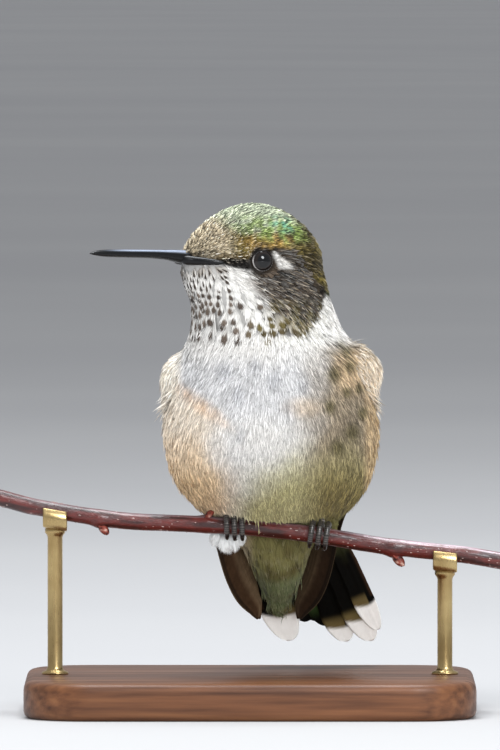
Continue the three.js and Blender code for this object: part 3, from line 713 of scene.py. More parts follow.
def undertail(colour, p, around, cloud):
    """Olive undertail coverts laid over the colour, pale along their right edge."""
    x, y, z = p[..., 0], p[..., 1], p[..., 2]
    under = smooth(27.0, 24.5, z) * smooth(-1.0, 1.5, y)
    coverts = layered(rgb(126, 122, 78), (rgb(108, 118, 82), smooth(20, 16, z)),
                      (rgb(92, 82, 46), smooth(0.05, 0.35, cloud) * 0.8))
    return layered(colour, (coverts, under * np.maximum(1 - smooth(105, 125, around), smooth(22, 18, z))),
                   (rgb(206, 190, 160), under * smooth(0.8, -0.8, x) * smooth(17, 20, z) * 0.7))


def ear_coverts(h, cloud):
    return layered(AURICULAR, (rgb(58, 50, 38), 0.5 + 1.5 * cloud),
                   (rgb(104, 90, 40), smooth(55.5, 52.5, h) * (0.75 + cloud)))


def cap(p, cloud, fine):
    """Dark olive with a pale forehead, and green, teal and bronze glints."""
    f, _, h = head_frame(p)
    over_brow = smooth(1.8, 0.4, h - brow_line(f)) * smooth(9.5, 8, f) * smooth(2, 4, f)
    band = spot(f - 0.8 * (h - 64.6), h, (0.4, 64.5), (4.6, 1.7), 0.5)
    return layered(
        rgb(72, 62, 30),
        (rgb(124, 110, 52), 0.45 + 2.2 * cloud),
        (PALE_GREEN, smooth(63.2, 65.2, h - 0.12 * np.abs(f - 3)) * smooth(-6, -2, f)),
        (FOREHEAD, smooth(5.2, 8.0, f + 0.1 * (h - 62))),
        (rgb(116, 94, 50), over_brow * 0.8),
        (BRONZE, spot(f, h, (2.2, 62.8), (3.2, 1.1), 0.5) * 0.85),
        (GREEN, band * smooth(0.25, 0.6, noise(p, 0.7, 14)) * 0.9),
        (TEAL, spot(f, h, (-1.0, 65.2), (1.6, 1.0), 0.6) * smooth(0.4, 0.65, noise(p, 0.6, 5)) * 0.9),
        (rgb(58, 50, 42), spot(f + 0.5 * (h - 61.4), h, (10.2, 61.3), (1.5, 0.6), 0.7) * (0.7 + fine)),
    )


def round_the_eye(colour, p):
    """Dark lores and a dark ring laid over the colour, with the white spot behind the eye."""
    f, l, h = head_frame(p)
    side, ring = np.abs(l), from_eye(p)
    lores = spot(f, h - 0.16 * (f - 6), (5.9, 60.05), (2.8, 0.68), 0.3)
    return layered(colour, (DARK * 0.4, lores * (side > 2)),
                   (DARK, (1 - smooth(1.8, 2.2, ring)) * smooth(2.6, 3.6, f)),
                   (DARK * 1.3, (1 - smooth(1.6, 1.8, ring)) * 0.8), (WHITE, eye_spot(f, h) * (side > 4)))


def markings(p):
    """The plumage's colour at points of the surface, and the colour of the feathers' edges there."""
    f, _, h = head_frame(p)
    y, z = p[..., 1], p[..., 2]
    around, head_around = facing(p)
    cloud = noise(p, 2.6, 1) - 0.5
    fine = noise(p, 1.0, 2) - 0.5
    green = layered(rgb(112, 148, 66), (BRONZE, 0.35 + 1.6 * cloud), (rgb(70, 84, 34), 0.35 + 1.2 * fine))
    back = smooth(98, 116, around)
    wing = on_wing(p) * (z > cover_line(y) - 1) * smooth(3, 5, y)
    colour = layered(under_parts(p, cloud, fine), (DUSKY, smooth(82, 100, around) * (z < 50) * 0.8),
                     (green * 0.8, np.maximum(back, wing)))
    colour = undertail(colour, p, around, cloud)
    neck = smooth(48.6, 51.5, z)
    nape = smooth(106, 122, nape_angle(h, around, head_around))
    top = smooth(-0.2, 0.3, h - brow_line(f) + 0.3 * fine)
    colour = layered(colour, (blend(WHITE, COOL, 0.2 + 0.6 * cloud), neck * (1 - back)),
                     (green * 0.62, neck * nape), (ear_coverts(h, cloud), ear_weight(p, fine)),
                     (cap(p, cloud, fine), top))
    colour = round_the_eye(colour, p)
    edges = layered(colour, (CREAM, 0.5), (rgb(244, 234, 214), top * (0.25 + 0.65 * smooth(2.5, 6, f))),
                    (rgb(190, 160, 112), back * (z < 52) * 0.55))
    return colour, edges


# ---------------------------------------------------------------- feather building

TRACE_STEPS = 5
FACE_LIMIT = 185000
BAKE_PATCH = 0.003
TWIG_CLEARANCE = 0.12
# the vane under the barbs: rows of three points, given by distance along (s) and across (t)
VANE_ROWS = 4
VANE_S = np.repeat([0.0, 0.4, 0.68, 0.86], 3)
VANE_T = np.tile([-1, 0, 1], VANE_ROWS) * np.repeat([0.18, 0.7, 0.6, 0.3], 3)


def trace(points, lengths):
    """Centre lines lying on the surface from each root along the flow."""
    place, normal = nearest(points)
    places, normals, ways = [place], [normal], []
    for _ in range(TRACE_STEPS):
        ways.append(flow(place, normal))
        place, normal = nearest(place + ways[-1] * (lengths / TRACE_STEPS)[:, None])
        places.append(place)
        normals.append(normal)
    ways.append(ways[-1])
    return np.stack(places, 1), np.stack(normals, 1), np.stack(ways, 1)


def along(samples, u):
    """Values of (n, k, 3) samples at u in 0..1 (n, v), carried straight on past 1."""
    n, k, _ = samples.shape
    place = np.clip(u, 0, 1.3) * (k - 1)
    i = np.clip(place.astype(int), 0, k - 2)
    part = (place - i)[..., None]
    rows = np.arange(n)[:, None]
    return samples[rows, i] * (1 - part) + samples[rows, i + 1] * part


def unwrap(p):
    """The skin's own unwrap: round the body, and up it."""
    u = (round_body(p) / (2 * np.pi) + 0.5) * 0.98 + 0.01
    return np.stack([u, (p[..., 2] - 10) / 60], -1)


def clear_of_twig(p):
    """Points inside the twig are pushed out of it."""
    x = p[..., 0]
    dy, dz = p[..., 1], p[..., 2] - twig_height(x)
    reach = TWIG_RADIUS + TWIG_CLEARANCE
    d = np.hypot(dy, dz) + 1e-6
    new = np.where(d < reach, reach + 0.3 * d / reach, d)
    return np.stack([x, dy * new / d, twig_height(x) + dz * new / d], -1)


def barb_fan(n, kind):
    """Where barbs lie on n feathers: along (s) and across (t) at each step, and their half widths."""
    barbs, steps = kind["barbs"], np.array(kind["steps"])
    fan = np.linspace(-1, 1, barbs)
    root_s = 0.1 + (kind["start"] - 0.1) * (1 - np.abs(fan))
    tip_s = kind["square"] + (1 - kind["square"]) * np.cos(fan * np.pi / 2)
    end_s = tip_s * (1 + kind["ragged"] * rng.standard_normal((n, barbs)))
    end_t = fan * 0.92 + kind["stray"] * rng.standard_normal((n, barbs))
    s = root_s[None, :, None] + (end_s - root_s)[:, :, None] * steps
    t = end_t[:, :, None] * (1 - (1 - steps) ** 1.7)
    t = t + 0.8 * kind["stray"] * np.sin(steps * 5 + rng.uniform(0, 6.3, (n, barbs, 1))) * steps
    taper = np.sqrt(np.clip(1 - steps ** kind["point"], 0, 1))
    return s, t, kind["broad"] / barbs * np.minimum(1, 0.5 + 1.4 * steps) * taper


def edge_values(low, high, tip):
    """A value at the two edges of each barb, step by step, and then once at its tip."""
    n, barbs, _ = low.shape
    edges = np.stack([low[:, :, :-1], high[:, :, :-1]], -1).reshape(n, barbs, -1)
    return np.concatenate([edges, tip[:, :, -1:]], 2).reshape(n, -1)


def with_vane(of_barbs, of_vane):
    """The barbs' values, and after them the values of the vane's points."""
    return np.concatenate([of_barbs, np.broadcast_to(of_vane, (len(of_barbs), len(VANE_S)))], 1)


def barb_faces(barbs, steps):
    """Quads and end triangles of one feather: its barbs, and after them its vane."""
    size = 2 * (steps - 1) + 1
    last = size - 3
    quads = [[low + k, low + k + 1, low + k + 3, low + k + 2]
             for low in range(0, barbs * size, size) for k in range(0, last, 2)]
    tris = [[low + last, low + last + 1, low + last + 2] for low in range(0, barbs * size, size)]
    vane = grid_faces(VANE_ROWS, 3, barbs * size)[:, ::-1]
    return np.concatenate([np.array(quads), vane]), np.array(tris)


def repeat_faces(faces, count, per):
    """The faces of count equal bodies of per points each."""
    shift = (np.arange(count) * per)[:, None, None]
    return (faces[None] + shift).reshape(-1, faces.shape[1])


def feathers(name, roots, size, kind, pattern, material, slot, replaced):
    """Feathers of one kind as joined meshes: a thin vane under a fan of tapered barbs.

    size gives the length, width, depth of root and lift of tip for each root. kind says how many
    barbs there are, their steps, how far out they start, and how much they spread and differ."""
    n, barbs, steps = len(roots), kind["barbs"], len(kind["steps"])
    length, width, depth, lift = size
    centre, normal, way = trace(roots, length)
    s, t, half = barb_fan(n, kind)
    layer = kind["layer"] * rng.standard_normal((n, barbs, 1))
    tilt = kind["tilt"] * rng.standard_normal((n, barbs, 1)) * np.ones(steps)
    tone = np.repeat(rng.uniform(-1, 1, (n, barbs)), 2 * steps - 1, 1)
    first_vane = tone.shape[1]
    s = with_vane(edge_values(s, s, s), VANE_S)
    t = with_vane(edge_values(t - half, t + half, t), VANE_T)
    layer = with_vane(edge_values(layer - tilt, layer + tilt, layer), -kind["layer"] - 0.03)
    tone = with_vane(tone, -0.3)

    up = unit(along(normal, s))
    across = unit(np.cross(up, along(way, s)))
    q = np.clip(s, 0, 1.3)
    height = lift[:, None] * q ** 2 - depth[:, None] * np.clip(1 - q, 0, 1) ** 1.15 + layer
    height = height - kind["cup"] * width[:, None] * t ** 2
    points = along(centre, s) + across * (t * width[:, None] / 2)[..., None] + up * height[..., None]
    points = clear_of_twig(points)
    colours = pattern(roots, s, t, tone, points)
    # the vane shows in the gaps between the barbs; its low tone and this factor paint it darker: the grey
    # beneath, and painted shade between the barbs
    colours[:, first_vane:] *= kind["gap"]
    uv = unwrap(roots)[:, None, :] + np.stack([t * 0.45, s - 0.5], -1) * BAKE_PATCH

    quads, tris = barb_faces(barbs, steps)
    room = FACE_LIMIT // (2 * len(quads) + len(tris))
    order = np.argsort(-roots[:, 2], kind="stable")
    for start in range(0, n, room):
        part = order[start:start + room]
        faces = [repeat_faces(some, len(part), points.shape[1]) for some in (quads, tris)]
        label = name if n <= room else f"{name}_{start // room + 1}"
        made = (points[part].reshape(-1, 3), faces)
        piece(label, made, material, colours[part].reshape(-1, 3), slot, *replaced, uv=uv[part].reshape(-1, 2))


# ---------------------------------------------------------------- regions of the coat

KINDS = ("crown", "face", "ear", "throat", "breast", "under", "back", "covert", "shoulder", "down")
CAP, FACE, EAR, THROAT, BREAST, UNDER, BACK, COVERT, BEND, DOWN = range(len(KINDS))
ROOT_TRIES = 120000
# heights, and f behind which the throat ends
THROAT_EDGE = ([50, 52, 54, 55.2, 56.5, 57.5, 58.5, 60], [0.0, 1.5, 2.6, 4.4, 5.7, 6.7, 7.4, 8.8])


def region(p):
    """The kind of feather that grows at each point."""
    f, l, h = head_frame(p)
    y, z = p[..., 1], p[..., 2]
    around, head_around = facing(p)
    brow = brow_line(f)
    kind = np.full(p.shape[:-1], BREAST)
    kind[around > 104] = BACK
    kind[(z < 25.5) & (y > -0.5) & (around < 125)] = UNDER
    kind[on_wing(p) & (z > cover_line(y) + 0.2)] = COVERT
    head = (h > 49.4) & (around < 112) | (h > 54)
    throat = head & (h < 60.3) & (f > np.interp(h, *THROAT_EDGE))
    throat |= (around < 130) & (h < 55.2) & (h < ear_bottom(f) + 3.0) & (f > 0.6) & (f < 4)
    throat &= h > 52.2 - 0.05 * np.abs(l)
    kind[throat] = THROAT
    cheek = head & ~throat & (f < 7.4) & (f > -8.5) & (h > 50.4) & (h < brow)
    kind[cheek & ((ear_weight(p, -0.8) > 0.02) | (h > 59))] = EAR
    kind[(h > 59.2 + 1.0 * smooth(6.5, 7.5, f)) & (h < brow) & (f > 3.4)] = FACE
    kind[from_eye(p) < 2.0] = FACE
    kind[(f > 9.2) & (h > 60.3) & (h < 61.6)] = FACE
    kind[((h > brow) & (h > 54)) | ((nape_angle(h, around, head_around) > 112) & (h > 50))] = CAP
    kind[on_shoulder(p) & (y < 2.5)] = BEND
    kind[on_shoulder(p) & (y >= 2.5)] = COVERT
    kind[on_thigh(p)] = DOWN
    return kind


def throat_gap(z):
    """Spacing of the throat's feathers, finest on the chin."""
    return 0.98 + 0.6 * smooth(58.5, 50.5, z) - 0.3 * smooth(58.4, 59.4, z)


def spacing(p, kind):
    """How far apart the feathers of each kind stand at points p."""
    f, _, h = head_frame(p)
    gaps = {
        CAP: 0.3 + 0.15 * smooth(8, 0, f) + 0.25 * smooth(0, -8, f), FACE: 0.34, EAR: 0.46,
        THROAT: throat_gap(h), BREAST: 0.48 - 0.08 * smooth(50, 52, h), UNDER: 1.3, BACK: 1.1, COVERT: 0.95,
        BEND: 0.45, DOWN: 0.6,
    }
    return np.select([kind == k for k in gaps], list(gaps.values()))


def on_bill(p):
    """Where the bill and the bare edges of the gape leave the head."""
    f, l, h = head_frame(p)
    side = np.abs(l)
    root = (f > 9.6) & (side < 1.35) & (h > 59.75) & (h < 61.2)
    gape = (f > 8.0) & (side > 1.0) & (side < 4.0) & (np.abs(h - 60.75 + 0.1 * side) < 0.2)
    return root | gape


def thin_out(points, gaps):
    """The indices of points that are kept, none closer to an earlier one than its gap."""
    near = KDTree(len(points))
    for i, p in enumerate(points):
        near.insert(p, i)
    near.balance()
    gone = np.zeros(len(points), bool)
    chosen = []
    for i in range(len(points)):
        if not gone[i]:
            chosen.append(i)
            for _, j, _ in near.find_range(points[i], gaps[i]):
                gone[j] = True
    return chosen


def scatter():
    """Roots spread over the surface no closer than their spacing, and their kinds."""
    quads = np.array(surface_polygons)
    corner = np.concatenate([quads[:, [0, 1, 2]], quads[:, [0, 2, 3]]])
    a, b, c = (surface[corner[:, k]] for k in range(3))
    middle = (a + b + c) / 3
    area = np.linalg.norm(np.cross(b - a, c - a), axis=1) / 2
    weight = area / spacing(middle, region(middle)) ** 2
    pick = rng.choice(len(corner), ROOT_TRIES, p=weight / weight.sum())
    r1, r2 = np.sqrt(rng.random(ROOT_TRIES))[:, None], rng.random(ROOT_TRIES)[:, None]
    points = (1 - r1) * a[pick] + r1 * (1 - r2) * b[pick] + r1 * r2 * c[pick]
    from_twig = np.hypot(points[:, 1], points[:, 2] - twig_height(points[:, 0]))
    points = points[(from_eye(points) > 1.56) & ~on_bill(points) & ~(from_twig < TWIG_RADIUS + 0.5)]
    kinds = region(points)
    chosen = thin_out(points, spacing(points, kinds))
    return points[chosen], kinds[chosen]


def throat_rows():
    """Roots of the throat's feathers, in staggered rows from chin to collar."""
    places = []
    z, row = 60.4, 0
    angles = np.linspace(-2.3, 2.3, 560)
    while z > 51.0:
        gap = throat_gap(z)
        ring = body_point(z, angles)
        run = np.concatenate([[0], np.cumsum(np.linalg.norm(np.diff(ring, axis=0), axis=1))])
        run = run - np.interp(0, angles, run)
        steps = (np.arange(-30, 30) + 0.5 * (row % 2)) * gap
        steps = steps[(steps > run[0]) & (steps < run[-1])]
        steps = steps + 0.16 * gap * rng.standard_normal(len(steps))
        drop = 0.16 * np.abs(steps) + 0.17 * gap * rng.standard_normal(len(steps))
        places.append(body_point(z - drop, np.interp(steps, run, angles)))
        z -= 0.86 * gap
        row += 1
    places = np.concatenate(places)
    return nearest(places[(region(places) == THROAT) & ~on_bill(places)])[0]


# ---------------------------------------------------------------- patterns of the feathers

# Each takes the roots (n), and for the points (n, v) of the feathers their distance along (s) and across (t),
# the tone of their barb and their places. Each gives the points' colours.


def root_shade(s, low, high, amount):
    """A factor that darkens a feather towards its root: its grey base, and painted shade under the feathers
    above.
    """
    return 1 - amount * smooth(high, low, s)[..., None]


def each(n, spread):
    """One random number for each feather."""
    return spread * rng.standard_normal((n, 1))


def scaly(roots, s, t, tone, points):
    """Dark middle, pale edge, as on back and wing coverts."""
    colour, edge = markings(points)
    n = len(roots)
    rim = smooth(0.78, 0.97, s) + smooth(0.75, 1.0, np.abs(t)) * 0.4
    out = blend(colour, edge, rim * (0.5 * rng.uniform(0.2, 1.3, n))[:, None])
    return shade(out * root_shade(s, 0.3, 0.65, 0.65), each(n, 0.14) + 0.3 * tone)


def hoary(roots, s, t, tone, points):
    """Crown: dark at the root, from its grey base and painted shade, its barbs' tips pale on the forehead and
    less so behind it.
    """
    colour, edge = markings(points)
    n = len(roots)
    frost = 0.32 + 0.68 * smooth(2.0, 6.0, head_frame(roots)[0])
    tip = smooth(0.6, 0.95, s) * smooth(-0.5, 0.7, tone)
    out = blend(colour, edge, tip * (frost * rng.uniform(0.5, 1.4, n))[:, None])
    return shade(out * root_shade(s, 0.35, 0.7, 0.62), each(n, 0.18) + 0.55 * tone)


def soft(roots, s, t, tone, points):
    """Loose barbs, grey at the root, where shade is painted too, and pale at the tip."""
    colour = markings(points)[0]
    strokes = 0.08 + 0.5 * (1 - colour.mean(-1))
    return shade(colour * root_shade(s, 0.25, 0.62, 0.3), strokes * tone + each(len(roots), 0.025))


# heights, and f of the line behind which the throat is fully flecked, and of the scaly cheek's front
FLECKED_EDGE = ([51, 52, 53, 54.6, 56, 57.3, 58.5, 60], [-6, -3, 3.6, 6.2, 7.0, 7.7, 8.4, 9.2])
SCALY_FRONT = ([51, 52.5, 54, 55.5, 57], [4.6, 5.8, 5.2, 4.4, 3.6])


def flecked(roots, s, t, tone, points):
    """White with a dusky teardrop before the tip, small on the chin and broad and bronzy on the lower cheek."""
    f, _, h = head_frame(roots)
    n = len(roots)
    white = blend(markings(points)[0], rgb(206, 205, 201), 0.55)
    big, chin = smooth(59, 55.5, h), smooth(57.8, 58.8, h)
    front = np.interp(h, *SCALY_FRONT)
    scale = smooth(0.7, -0.7, f - front + 0.4 * rng.standard_normal(n)) * smooth(57, 56, h)
    speckled = smooth(-0.5, 0.3, f - np.interp(h, *FLECKED_EDGE) + 0.5 * rng.standard_normal(n))
    chosen = rng.random(n) < np.maximum(0.08 + 0.88 * speckled, scale)
    fleck = blend(rgb(60, 52, 46), rgb(112, 100, 90), rng.random(n) * (1 - chin))
    bronzy = blend(rgb(60, 52, 36), rgb(100, 90, 52), rng.random(n))
    fleck = blend(fleck, bronzy, smooth(6.4, 5.0, f) * smooth(56.5, 54.5, h) * 0.9)
    patch = scale * smooth(4.0, 1.0, f) * smooth(50.8, 52.2, h)
    white = blend(white, rgb(128, 118, 88), patch[:, None] * (0.45 + 0.4 * tone))
    under_bill_shade_and_streaks = smooth(58.9, 59.6, h) * smooth(6.0, 7.5, f)
    chosen |= under_bill_shade_and_streaks > rng.random(n)
    # painted shade under the bill: the white there is greyed
    white = blend(white, rgb(150, 142, 132), under_bill_shade_and_streaks[:, None] * (0.5 + 0.5 * tone))
    half = (0.6 + 0.5 * big + 0.1 * scale)[:, None] * rng.uniform(0.7, 1.15, n)[:, None]
    long = 0.17 + 0.08 * big + 0.12 * chin - 0.02 * scale + 0.3 * under_bill_shade_and_streaks
    long = long[:, None] * rng.uniform(0.8, 1.2, n)[:, None]
    u = (s - 0.74) / long
    shape = np.hypot(u, (t - 0.5 * u * long) / (half * (0.72 + 0.28 * np.clip(u, -1, 1))))
    dark = (1 - smooth(0.6, 1.05, shape + 0.12 * tone)) * chosen[:, None]
    return shade(blend(white, fleck[:, None, :], dark) * root_shade(s, 0.2, 0.5, 0.3), 0.1 * tone)


def streaked(roots, s, t, tone, points):
    """Ear coverts: dark and pale barbs among each other, the dark thinning out towards the white cheek."""
    f, _, h = head_frame(points)
    n = len(roots)
    ear = ear_weight(points, 1.9 * (noise(points, 0.8, 2) - 0.5))
    low = smooth(55.8, 53.6, h)
    dark = layered(AURICULAR, (rgb(46, 38, 30), noise(points, 1.6, 16)),
                   (rgb(104, 92, 42), low * smooth(0.3, 0.6, noise(points, 1.0, 17)) * 0.9))
    dark = shade(dark, each(n, 0.22) + 0.7 * np.minimum(tone, 0.4))
    pale = shade(rgb(238, 237, 233), 0.1 * tone)
    picked = smooth(-0.25, 0.25, 1.3 * ear - 0.64 + 0.6 * np.sin(7 * tone))
    shafts = smooth(0.45, 0.75, tone) * smooth(0.3, 0.75, s) * (ear > 0.5)
    fringe = smooth(0.74, 0.96, s) * low * (ear > 0.4) * (rng.random(n) < 0.55)[:, None]
    out = layered(pale, (dark, picked), (rgb(206, 192, 168), shafts * (0.4 + 0.4 * smooth(57.5, 54.5, h))),
                  (rgb(206, 200, 176), fringe * 0.75))
    # the feathers darken towards the root: their grey base, and painted shade
    out = out * (1 - (0.2 + 0.35 * ear) * smooth(0.6, 0.2, s))[..., None]
    return blend(out, WHITE, eye_spot(f, h) * 0.95)


def tufty(roots, s, t, tone, points):
    """Buff and white tufts over the bend of the wing, the barbs whitest at their tips."""
    y = points[..., 1]
    out = layered(markings(points)[0], (rgb(104, 116, 62), smooth(1.5, 3.5, y) * 0.9),
                  (rgb(252, 246, 236), smooth(0.5, 0.95, s) * smooth(4.0, 1.5, y) * 0.6))
    return shade(out * root_shade(s, 0.2, 0.6, 0.5), each(len(roots), 0.05) + 0.3 * tone)


def downy(roots, s, t, tone, points):
    return shade(rgb(240, 242, 242) * root_shade(s, 0.1, 0.6, 0.3), 0.1 * tone)


def edged(roots, s, t, tone, points):
    """Long undertail coverts: olive grey with a wide pale edge."""
    colour = shade(markings(points)[0], each(len(roots), 0.1))
    rim = smooth(0.6, 1.0, np.hypot(np.abs(t), smooth(0.6, 1.05, s)))
    return shade(blend(colour, rgb(188, 184, 152), rim * 0.4) * root_shade(s, 0.2, 0.6, 0.35), 0.12 * tone)


# ---------------------------------------------------------------- the coat

PLUMAGE = {
    "gloss": plumage("plumage_gloss", roughness=0.55, sheen=0.05, specular=0.2, vary=0.3, metallic=0.1),
    "soft": plumage("plumage_soft", roughness=0.8, sheen=0.12, specular=0.12, vary=0.08),
    "dark": plumage("plumage_dark", roughness=0.6, sheen=0.08, specular=0.25, vary=0.2),
}

THIGH_NODES = ("thigh_right", "thigh_left")
BEND_NODES = ("wing_right_shoulder", "wing_left_shoulder")
FLESH = ("head", "neck", "breast", "back", "belly", "rump", "undertail_coverts", *THIGH_NODES, *BEND_NODES)
EVEN = (0, 0.3, 0.62, 1)
DISTAL = (0, 0.4, 0.58, 0.7, 0.8, 0.9, 1)


def kind_of(barbs, steps=EVEN, start=0.4, square=0.6, ragged=0.08, stray=0.06, broad=1.1, point=2.5,
            layer=0.02, tilt=0.02, cup=0.07, gap=0.7):
    return dict(barbs=barbs, steps=steps, start=start, square=square, ragged=ragged, stray=stray, broad=broad,
                point=point, layer=layer, tilt=tilt, cup=cup, gap=gap)


# slot, nodes replaced, material, pattern, barbs
COAT = {
    "crown": ("crown_feathers", ("head",), "gloss", hoary,
              kind_of(6, start=0.35, square=0.65, ragged=0.13, stray=0.12, broad=0.84, tilt=0.03, gap=0.5)),
    "face": ("crown_feathers", (), "dark", soft, kind_of(6, start=0.3, ragged=0.12, stray=0.1, cup=0.04)),
    "ear": ("throat_feathers", ("neck",), "dark", streaked,
            kind_of(8, start=0.25, square=0.5, ragged=0.2, stray=0.16, broad=0.75, layer=0.04, tilt=0.04,
                    gap=0.75)),
    "throat": ("throat_feathers", (), "soft", flecked,
               kind_of(15, DISTAL, start=0.35, square=0.62, stray=0.04, broad=1.25, layer=0.012, cup=0.05,
                       gap=0.9)),
    "breast": ("breast_feathers", ("breast", "belly"), "soft", soft,
               kind_of(10, square=0.45, ragged=0.22, stray=0.17, broad=0.72, point=2, layer=0.04, tilt=0.03,
                       cup=0.03, gap=0.75)),
    "under": ("undertail_feathers", ("undertail_coverts",), "soft", edged,
              kind_of(24, (0, 0.3, 0.55, 0.8, 1), start=0.5, square=0.55, ragged=0.05, stray=0.04)),
    "back": ("back_feathers", ("back", "rump"), "gloss", scaly,
             kind_of(15, square=0.66, ragged=0.06, stray=0.04, broad=1.2)),
    "covert": ("back_feathers", (), "gloss", scaly,
               kind_of(15, square=0.7, ragged=0.04, stray=0.03, broad=1.3)),
    "shoulder": ("breast_feathers", BEND_NODES, "soft", tufty,
                 kind_of(11, square=0.4, ragged=0.25, stray=0.2, broad=0.75, layer=0.05, tilt=0.04)),
    "down": ("down", THIGH_NODES, "soft", downy,
             kind_of(16, start=0.3, square=0.45, ragged=0.2, stray=0.15, broad=0.9, layer=0.05, tilt=0.05)),
}


def vary(n, spread=0.1):
    return 1 + spread * rng.standard_normal(n)


def sizes(name, here):
    """Length, width, depth of root and lift of tip for the feathers of one kind."""
    n = len(here)
    one = np.ones(n)
    gap = spacing(here, np.full(n, KINDS.index(name)))
    x, y, z = here.T
    if name == "crown":
        return gap * 3.2 * vary(n), gap * 2.1 * vary(n), 0.2 + 0.12 * gap, 0.03 + 0.1 * rng.random(n)
    if name == "face":
        return gap * 2.6 * vary(n), gap * 1.5 * vary(n), 0.16 * one, 0.02 + 0.04 * rng.random(n)
    if name == "ear":
        return gap * 4.4 * vary(n), gap * 2.2 * vary(n), 0.26 * one, 0.03 + 0.09 * rng.random(n)
    if name == "throat":
        return gap * 2.2 * vary(n, 0.04), gap * 1.2 * vary(n, 0.04), 0.22 * one, 0.02 + 0.03 * rng.random(n)
    if name == "breast":
        flank = smooth(9, 13, np.abs(x - 3)) * smooth(45, 40, z)
        hem = smooth(29, 26.8, z) * (y < 1)
        scapular = smooth(8.0, 10.5, x) * smooth(47.5, 49.0, z) * smooth(53.0, 51.0, z)
        lift = (0.05 + 0.25 * flank) * rng.random(n) + hem * rng.uniform(0.1, 0.45, n)
        lift = lift + scapular * rng.uniform(0.1, 0.75, n)
        return (2.1 + 0.3 * hem + 0.6 * scapular) * vary(n), 1.55 * vary(n), 0.3 * one, lift
    if name == "under":
        rear = smooth(70, 115, facing(here)[0]) * smooth(24, 16, z) * smooth(13.2, 15.5, z)
        length, width = 5.2 * (0.45 + 0.55 * smooth(13, 18, z)) * vary(n), 3.0 * vary(n)
        return length, width, 0.6 * one, 0.05 + 0.08 * rng.random(n) + rear * rng.uniform(0.2, 1.1, n)
    if name == "back":
        over_tail = smooth(31, 28, z) * smooth(24, 26, z) * (x > -1)
        under_tail = smooth(24, 17, z) * smooth(13.2, 15.5, z)
        lift = 0.04 + 0.05 * rng.random(n) + over_tail * rng.uniform(0.3, 1.1, n)
        lift = lift + under_tail * rng.uniform(0.3, 1.5, n)
        long, wide = 3.0 + 1.6 * over_tail + under_tail, 2.2 + 0.4 * over_tail
        return long * vary(n), wide * vary(n), 0.4 * one, lift
    if name == "covert":
        lower = smooth(4.5, 1.5, z - cover_line(y)) * on_wing(here)
        long = 2.1 + 1.5 * lower
        lift = 0.08 + lower * rng.uniform(0.75, 1.15, n) * smooth(1.0, 5.0, y)
        return long * vary(n, 0.05), (0.62 * long + 0.6) * vary(n, 0.05), 0.2 * one, lift
    if name == "shoulder":
        fringe = smooth(45.5, 43.5, z) * smooth(41.5, 42.5, z) * (y < 4)
        lift = 0.05 + 0.15 * rng.random(n) + fringe * rng.uniform(0.4, 1.0, n)
        return (2.1 + 0.5 * fringe) * vary(n), 1.5 * vary(n), 0.4 * one, lift
    return 2.0 * vary(n), 1.5 * vary(n), 0.4 * one, 0.1 + 0.2 * rng.random(n)


def coat():
    """All the small feathers, kind by kind."""
    roots, kinds = scatter()
    roots, kinds = roots[kinds != THROAT], kinds[kinds != THROAT]
    rows = throat_rows()
    roots = np.concatenate([roots, rows])
    kinds = np.concatenate([kinds, np.full(len(rows), THROAT)])
    for k, name in enumerate(KINDS):
        here = roots[kinds == k]
        slot, replaced, material, pattern, kind = COAT[name]
        feathers(f"plumage_{name}", here, sizes(name, here), kind, pattern, PLUMAGE[material], slot, replaced)


def skin():
    """The body's own surface under the feathers, drawn in a little, with the plumage's colours painted darker
    as the shade under the feathers.
    """
    quads = np.array(surface_polygons)
    depth = 0.3 + 0.5 * smooth(57, 50, surface[:, 2])
    uv = unwrap(surface)[quads]
    u = uv[..., 0]
    wrapped = np.ptp(u, axis=1) > 0.5
    uv[..., 0] = np.where(wrapped[:, None] & (u < 0.5), u + 0.98, u)
    made = (surface - surface_normals * depth[:, None], [quads])
    # painted shade: the plumage's colours, darkened
    colours = markings(surface)[0] * 0.55
    piece("skin", made, PLUMAGE["soft"], colours, "breast_feathers", *FLESH, uv=uv.reshape(-1, 2))


coat()
skin()

# ---------------------------------------------------------------- bill

# distance ahead, height of the upper and of the lower edge, half width
BILL = np.array([
    (9.0, 61.15, 60.05, 0.78), (9.8, 61.5, 59.98, 0.96), (10.8, 61.8, 59.95, 1.08), (12.4, 61.92, 60.17, 1.06),
    (14.5, 61.96, 60.58, 0.92), (17.1, 62.02, 60.84, 0.8), (21.0, 62.1, 61.0, 0.68), (24.4, 62.13, 61.16, 0.56),
    (26.0, 61.97, 61.38, 0.34), (26.7, 61.76, 61.54, 0.14), (26.9, 61.65, 61.61, 0.03),
])
BILL_SLIT = 0.03


def bill_edges(f):
    """The height of the bill's upper and lower edge and its half width, at distances ahead."""
    return [curve(f, BILL[:, [0, column]]) for column in (1, 2, 3)]


def jaw(side):
    """The upper (side 1) or lower jaw: a half oval with a ridge and a groove, narrowing to the tip."""
    out = BILL[0, 0] + (BILL[-1, 0] - BILL[0, 0]) * (1 - (1 - np.linspace(0, 1, 70)) ** 1.3)
    out = out[:, None]
    top, low, half = bill_edges(out)
    angle = np.linspace(0, np.pi, 25)[None, :]
    level = low + (top - low) * 0.46
    deep = (top - level if side > 0 else level - low) - BILL_SLIT / 2
    ridge = np.exp(-((np.abs(np.cos(angle)) - 0.75) / 0.14) ** 2)
    groove = 0.16 * ridge * smooth(15, 10, out) * (side > 0)
    left = half * np.cos(angle) * (1 - groove)
    high = level + side * (BILL_SLIT / 2 + deep * np.sin(angle) ** 0.9 * (1 - groove))
    inside = on_head(out, left[:, -2:0:-1] * 0.98, level - side * 0.1 * deep)
    return tube(np.concatenate([on_head(out, left, high), inside], 1))


